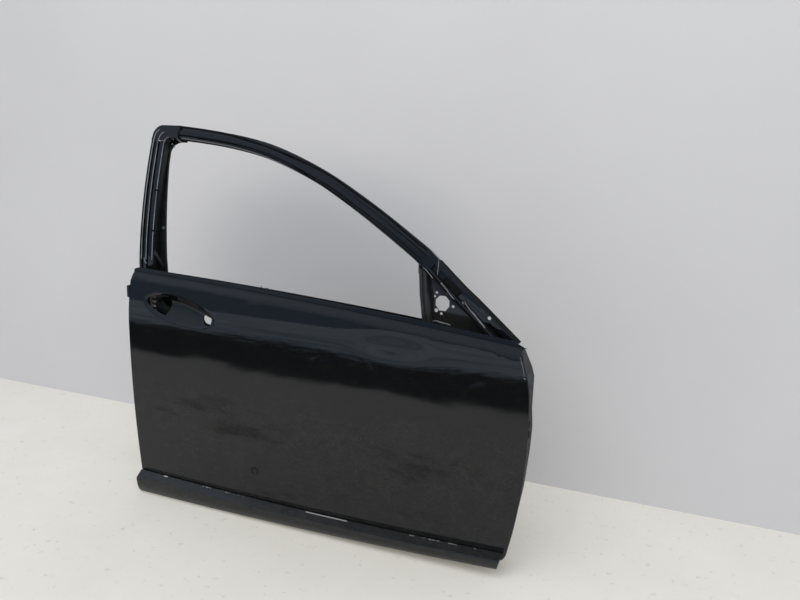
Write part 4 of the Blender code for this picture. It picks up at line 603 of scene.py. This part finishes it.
def dressed(node, material, angle=SMOOTH_ANGLE):
    """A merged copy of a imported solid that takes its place, smooth but for its real edges."""
    piece = bpy.data.objects.new(node + "_dressed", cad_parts[node].data.copy())
    bpy.context.scene.collection.objects.link(piece)
    pick(piece)
    if piece.data.has_custom_normals:
        bpy.ops.mesh.customdata_custom_splitnormals_clear()
    bpy.ops.object.mode_set(mode="EDIT")
    bpy.ops.mesh.select_all(action="SELECT")
    bpy.ops.mesh.remove_doubles(threshold=MERGE_DISTANCE)
    bpy.ops.object.mode_set(mode="OBJECT")
    bpy.ops.object.shade_smooth_by_angle(angle=math.radians(angle), keep_sharp_edges=False)
    coat(piece, material)
    own(piece, node)
    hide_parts(node)
    return piece


def fine_skin(material):
    """The skin with its triangles divided and its points moved onto the curve that shines."""
    piece = dressed("outer_panel", material, SKIN_ANGLE)
    mesh = piece.data
    level = mesh.attributes.new("curve_y", "FLOAT", "POINT")
    level.data.foreach_set("value", [row_y(v.co) for v in mesh.vertices])
    pick(piece)
    bpy.ops.object.mode_set(mode="EDIT")
    bpy.ops.mesh.select_all(action="SELECT")
    bpy.ops.mesh.subdivide(number_cuts=SKIN_CUTS)
    bpy.ops.object.mode_set(mode="OBJECT")
    level = mesh.attributes["curve_y"]
    for vertex, flat in zip(mesh.vertices, level.data):
        vertex.co.y += soft_y(vertex.co) - flat.value
    mesh.attributes.remove(level)
    mesh.update()
    true_normals(mesh)


def slope(point, step):
    """How fast the shining curve's Y changes at a point, along a step."""
    return (soft_y(point + step) - soft_y(point - step)) / (2 * SLOPE_STEP)


def true_normals(mesh):
    """Corner normals from the skin's own curve wherever a face lies along it."""
    forwards, upwards = Vector((SLOPE_STEP, 0, 0)), Vector((0, 0, SLOPE_STEP))
    slopes = [Vector((slope(v.co, forwards), -1.0, slope(v.co, upwards))).normalized()
              for v in mesh.vertices]
    normals = [n.vector.copy() for n in mesh.corner_normals]
    for face in mesh.polygons:
        for corner in face.loop_indices:
            normal = slopes[mesh.loops[corner].vertex_index]
            turn = normal.dot(face.normal)
            if abs(turn) > ALONG_CURVE:
                normals[corner] = normal if turn > 0 else -normal
    mesh.normals_split_custom_set(normals)


def drawn(places, steps=5):
    """A smooth line through places."""
    places = [Vector(p) for p in places]
    ends = [places[0] * 2 - places[1], *places, places[-1] * 2 - places[-2]]
    line = []
    for a, b, c, d in zip(ends, ends[1:], ends[2:], ends[3:]):
        for i in range(steps):
            t = i / steps
            cubic = (b - c) * 3 + d - a
            square = a * 2 - b * 5 + c * 4 - d
            line.append(b + ((c - a) * t + square * t ** 2 + cubic * t ** 3) / 2)
    line.append(places[-1])
    return line


def settled(piece, name, material, node):
    """A modelled piece with its seams closed, faces outwards, place in its mesh and finish on."""
    piece.name = name
    bpy.ops.object.transform_apply(location=True, rotation=True, scale=True)
    bpy.ops.object.mode_set(mode="EDIT")
    bpy.ops.mesh.select_all(action="SELECT")
    bpy.ops.mesh.remove_doubles(threshold=SEAM_DISTANCE)
    bpy.ops.mesh.normals_make_consistent(inside=False)
    bpy.ops.object.mode_set(mode="OBJECT")
    bpy.ops.object.shade_smooth_by_angle(angle=math.radians(SMOOTH_ANGLE), keep_sharp_edges=False)
    coat(piece, material)
    own(piece, node)
    return piece


def rib(name, line, radius, material, node):
    """A round rib: a point drawn out along a line, then given its girth."""
    bpy.ops.object.select_all(action="DESELECT")
    bpy.ops.mesh.primitive_plane_add(size=radius, location=line[0])
    bpy.ops.object.mode_set(mode="EDIT")
    bpy.ops.mesh.select_all(action="SELECT")
    bpy.ops.mesh.merge(type="CENTER")
    for a, b in zip(line, line[1:]):
        step = Vector(b) - Vector(a)
        bpy.ops.mesh.extrude_vertices_move(TRANSFORM_OT_translate={"value": step})
    bpy.ops.object.mode_set(mode="OBJECT")
    bpy.ops.object.convert(target="CURVE")
    curve = bpy.context.object.data
    curve.bevel_depth = radius
    curve.bevel_resolution = 2
    curve.use_fill_caps = True
    bpy.ops.object.convert(target="MESH")
    settled(bpy.context.object, name, material, node)


def sheet_piece(name, outline, material, node):
    """A small sheet-metal piece: a disc pulled to its outline, given its wall and a broken edge."""
    bpy.ops.object.select_all(action="DESELECT")
    start = Vector(outline[0])
    bpy.ops.mesh.primitive_circle_add(vertices=len(outline), radius=0.01, fill_type="NGON",
                                      location=start)
    piece = bpy.context.object
    bpy.ops.object.mode_set(mode="EDIT")
    for i, place in enumerate(outline):
        bpy.ops.mesh.select_all(action="DESELECT")
        mesh = bmesh.from_edit_mesh(piece.data)
        mesh.verts.ensure_lookup_table()
        corner = mesh.verts[i]
        corner.select = True
        step = Vector(place) - start - corner.co
        bmesh.update_edit_mesh(piece.data)
        bpy.ops.transform.translate(value=step)
    bpy.ops.object.mode_set(mode="OBJECT")
    apply_modifier(piece, "wall", "SOLIDIFY", thickness=SHEET_WALL, offset=0.0)
    apply_modifier(piece, "edge", "BEVEL", width=SHEET_EDGE, segments=2)
    settled(piece, name, material, node)


def pick_cap(piece, axis):
    """Selects the end face of a turned piece that looks along an axis."""
    mesh = bmesh.from_edit_mesh(piece.data)
    for face in mesh.faces:
        face.select = False
    for face in mesh.faces:
        face.select = face.normal.dot(axis) > 0.99
    mesh.select_flush_mode()
    bmesh.update_edit_mesh(piece.data)


def pan_screw(node, material):
    """A pan-head screw with a sunk drive, on the face that the solid's screw stands on."""
    low, high = (Vector(corner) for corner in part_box(node))
    out = Vector((0.0, 0.0, 0.0))
    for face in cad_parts[node].data.polygons:
        if face.normal.y < SCREW_OUTWARD:
            out += face.normal * face.area
    out.normalize()
    bpy.ops.object.select_all(action="DESELECT")
    bpy.ops.mesh.primitive_cylinder_add(vertices=24, radius=SCREW_RADIUS, depth=SCREW_HEIGHT,
                                        location=(low + high) / 2 + out * SCREW_LIFT,
                                        rotation=out.to_track_quat("Z", "Y").to_euler())
    piece = bpy.context.object
    bpy.ops.object.mode_set(mode="EDIT")
    pick_cap(piece, Vector((0.0, 0.0, 1.0)))
    bpy.ops.mesh.inset(thickness=SCREW_RADIUS * DRIVE_RIM, depth=SCREW_HEIGHT * DRIVE_DISH)
    bpy.ops.mesh.inset(thickness=SCREW_RADIUS * DRIVE_WALL, depth=0.0)
    sunk = out * (-SCREW_HEIGHT * DRIVE_DEPTH)
    bpy.ops.mesh.extrude_region_move(TRANSFORM_OT_translate={"value": sunk})
    bpy.ops.object.mode_set(mode="OBJECT")
    apply_modifier(piece, "rim", "BEVEL", width=SCREW_RADIUS * RIM_ROUND, segments=2)
    settled(piece, node + "_head", material, node)
    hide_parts(node)


def belt_crease_places():
    """The hairline groove below the belt edge, from rear to front."""
    places = []
    for i in range(CREASE_STEPS + 1):
        x = CREASE_START + CREASE_LENGTH * i / CREASE_STEPS
        place = Vector((x, 0.0, belt_z(x) - BELT_FLANGE + CREASE_RISE)) - SHIFT
        place.y = soft_y(place) + CREASE_SINK
        places.append(place)
    return places


def build_frame_details(finishes):
    """Ribs, seals, seams and small plates of the window frame, the mirror corner and the skin."""
    # The pale rib finish is a painted highlight on the ribs, with the paint partly worn through
    rubbed_and_highlit, rubber = finishes["rubbed_and_highlit"], finishes["rubber"]
    for i, (offset, tail) in enumerate(zip(LAND_OFFSETS, CORNER_TAILS)):
        edge = [(x + offset, y, z) for x, y, z in PILLAR_EDGE]
        line = drawn([*edge, *tail])
        rib(f"pillar_rib_{i + 1}", line, PILLAR_RIB_RADIUS, rubbed_and_highlit, "pillar_profile")
    for i, (x, y, z) in enumerate(CLIP_PLACES):
        line = [(x - CLIP_REAR, y, z), (x, y - CLIP_BOW, z), (x + CLIP_FRONT, y, z)]
        rib(f"pillar_clip_{i + 1}", line, CLIP_RADIUS, rubber, "pillar_profile")
    for name, places, smooth, radius, finish, node in RIBS:
        rib(name, drawn(places) if smooth else places, radius, finishes[finish], node)
    for name, line, radius in EDGE_LINES:
        places = [Vector((x, 0.0, z)) for x, z in line]
        for place in places:
            place.y = soft_y(place) - radius * EDGE_LINE_LIFT
        rib(name, drawn(places), radius, rubbed_and_highlit, "outer_panel")
    # Painted shade: a dead black line in the hairline groove below the belt edge
    rib("belt_crease_shade", drawn(belt_crease_places()), CREASE_RADIUS, rubber, "outer_panel")
    for name, outline, finish, node in SHEETS:
        sheet_piece(name, outline, finishes[finish], node)
    rib("foot_edge", FOOT_EDGE, FOOT_EDGE_RADIUS, rubbed_and_highlit, "pillar_profile")


def build_camera():
    a, e = CAMERA_AZIMUTH, CAMERA_ELEVATION
    forward = Vector((-math.sin(a) * math.cos(e), math.cos(a) * math.cos(e), -math.sin(e)))
    right = Vector((math.cos(a), math.sin(a), 0.0))
    down = forward.cross(right)
    turned = right * math.cos(CAMERA_ROLL) + down * math.sin(CAMERA_ROLL)
    lower = right * -math.sin(CAMERA_ROLL) + down * math.cos(CAMERA_ROLL)
    data = bpy.data.cameras.new("camera")
    data.lens = LENS
    camera = bpy.data.objects.new("camera", data)
    turn = Matrix((turned, -lower, -forward)).transposed()
    camera.matrix_world = Matrix.Translation(CAMERA_PLACE) @ turn.to_4x4()
    bpy.context.scene.collection.objects.link(camera)
    bpy.context.scene.camera = camera


def stage_plane(name, location, rotation=(0.0, 0.0, 0.0)):
    bpy.ops.object.select_all(action="DESELECT")
    bpy.ops.mesh.primitive_plane_add(size=STAGE_SIZE, location=location, rotation=rotation)
    plane = bpy.context.object
    plane.name = name
    return plane


def build_floor():
    """The pale floor. Gloss paint sees a dark hedge and then open sky out in front of the door."""
    floor = stage_plane("floor", (0.0, 0.0, FLOOR_Z))
    shade = paint("pale_floor", Roughness=0.9, Emission_Strength=1.0)
    y = shade.parts()[1]
    pale = shade.blend(shade.noise(2.5, 6.0, 0.6), *FLOOR_PALE)
    grit = shade.noise(38.0, 5.0, 0.7).fade(0.60, 0.68)
    pale = shade.blend(grit * 0.4, pale, FLOOR_GRIT)
    hedge = 1.0 - (y + shade.noise(3.0, 5.0, 0.65) * 0.4).fade(*HEDGE_REACH)
    crowns = shade.noise(1.1, 4.0, 0.6, (0.5, 1.0, 1.0)) * 1.2
    crowns = crowns + shade.noise(8.0, 8.0, 0.80, (1.5, 0.6, 1.0)) * 5.0
    yonder = 1.0 - (y + crowns).fade(*YONDER_REACH)
    streak = shade.noise(0.7, 5.0, 0.6, (0.3, 1.0, 1.0)).fade(0.35, 0.65) * 0.5
    streak = streak + shade.noise(2.2, 6.0, 0.7, (0.4, 1.0, 1.0)).fade(0.36, 0.64) * 0.5
    leaves = shade.blend(shade.noise(9.0, 5.0, 0.7).fade(0.45, 0.70), *LEAVES)
    yard = shade.blend(yonder, leaves, shade.blend(streak, *YARD_SKY))
    bright = shade.blend(shade.ray("Is Camera Ray"), BLACK, FLOOR_LIFT)
    mirrored = hedge * shade.ray("Is Glossy Ray")
    shade.feed(shade.shader.inputs["Base Color"], shade.blend(mirrored, pale, BLACK))
    shade.feed(shade.shader.inputs["Emission Color"], shade.blend(mirrored, bright, yard))
    coat(floor, shade.material)


def build_wall():
    """The pale wall with a painted shade behind the window, a soft darker patch. It is clear from
    behind.
    """
    wall = stage_plane("backdrop", (0.0, WALL_Y, 0.0), (math.pi / 2, 0.0, 0.0))
    shade = paint("pale_wall", Roughness=0.8, Emission_Strength=1.0)
    x, height = shade.parts()[:2]
    pale = shade.blend(shade.noise(1.2, 4.0, 0.5), *WALL_PALE)
    a, b = x - SHADE_PATCH_PLACE[0], height - SHADE_PATCH_PLACE[1]
    off = a * a * 2.2 + b * b * 4.0 + shade.noise(3.0, 3.0, 0.5) * 0.25
    pale = shade.blend((1.0 - off.fade(0.15, 1.05)) * SHADE_PATCH_STRENGTH, pale, SHADE_PATCH_COLOUR)
    bright = shade.blend(shade.ray("Is Camera Ray"), BLACK, WALL_LIFT)
    shade.feed(shade.shader.inputs["Base Color"], pale)
    shade.feed(shade.shader.inputs["Emission Color"], bright)
    behind = shade.node("ShaderNodeNewGeometry", output="Backfacing")
    clear = shade.node("ShaderNodeBsdfTransparent")
    shade.show(shade.node("ShaderNodeMixShader", None, {0: behind, 1: shade.face(), 2: clear}))
    coat(wall, shade.material)


def build_light():
    """An overcast sky and a soft lamp. Gloss paint sees a darker sky with a skyline."""
    world = bpy.data.worlds.new("sky")
    bpy.context.scene.world = world
    world.use_nodes = True
    shade = Shade(world.node_tree)
    direction = shade.node("ShaderNodeTexCoord", output="Generated")
    height = shade.node("ShaderNodeSeparateXYZ", None, {0: direction}, 2)
    sockets = {"Vector": direction, "Scale": 7.0, "Detail": 6.0}
    rough = shade.node("ShaderNodeTexNoise", None, sockets)
    skyline = (height - rough * 0.06).fade(0.10, 0.20)
    mirrored = shade.blend(skyline, SKYLINE, shade.blend(height.fade(0.15, 0.9), *OPEN_SKY))
    light = shade.blend(shade.ray("Is Glossy Ray"), SKY_LIGHT, mirrored)
    light = shade.blend(shade.ray("Is Camera Ray"), light, SKY_SEEN)
    shade.feed(shade.tree.nodes["Background"].inputs["Color"], light)
    data = bpy.data.lights.new("soft_sky", "AREA")
    data.energy = LAMP_POWER
    data.size = LAMP_SIZE
    lamp = bpy.data.objects.new("soft_sky", data)
    lamp.location = LAMP_PLACE
    lamp.rotation_euler = (LAMP_TILT, 0.0, 0.0)
    lamp.visible_glossy = False
    bpy.context.scene.collection.objects.link(lamp)


def dress_all():
    """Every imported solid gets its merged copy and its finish."""
    fine_skin(gloss_black("skin_black", dust=0.42, stain_and_shade=dried_marks))
    # The moulding's ledge line is bare chips and a painted highlight of its rim.
    dressed("sill_moulding", gloss_black("moulding_gloss", dust=0.55, wear_and_highlight=ledge_chips_and_highlight, haze=0.14))
    # Painted shade: the front rail's faces that look up get a matt black film.
    dressed("front_rail", gloss_black("rail_black", stain_and_shade=painted_shade_on_top))
    dressed("mirror_plate", gloss_black("plate_black", dust=1.4, haze=0.17))
    dressed("lever_comb", moulded_black("pale_comb", level=0.11))
    dressed("inner_panel", satin_black("pan_black", level=0.015, rough=0.42, shine=0.25,
                                       wear_and_highlight=pan_runs))
    satin = satin_black("satin_black")
    primer = primed_steel("primed_steel")
    plastic = moulded_black("moulded_black")
    screw = bare_screw("bare_screw")
    groups = ((GLOSS_NODES, gloss_black("gloss_black")),
              (SATIN_NODES, satin),
              (SHADED_NODES, satin_black("shaded_black", level=0.006, rough=0.4, shine=0.4)),
              (RUBBERS, moulded_black("rubber", level=0.012, rough=0.7)),
              (PADS, bitumen("bitumen_pad")),
              (PLASTICS, plastic))
    build_frame_details({"rubbed_and_highlit": highlight_and_wear_edge("highlight_and_wear_edge"), "rubber": dull_rubber_and_shade("dull_rubber_and_shade"),
                         "satin": satin})
    finishes = {node: material for nodes, material in groups for node in nodes}
    for node in SCREWS:
        pan_screw(node, screw)
    for node in sorted(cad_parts):
        if node in (*OWN_FINISH, *SCREWS):
            continue
        material = plastic if node.startswith("moulding_clip") else finishes.get(node, primer)
        dressed(node, material)


build_camera()
build_floor()
build_wall()
build_light()
dress_all()

bpy.context.scene.view_settings.view_transform = "Standard"
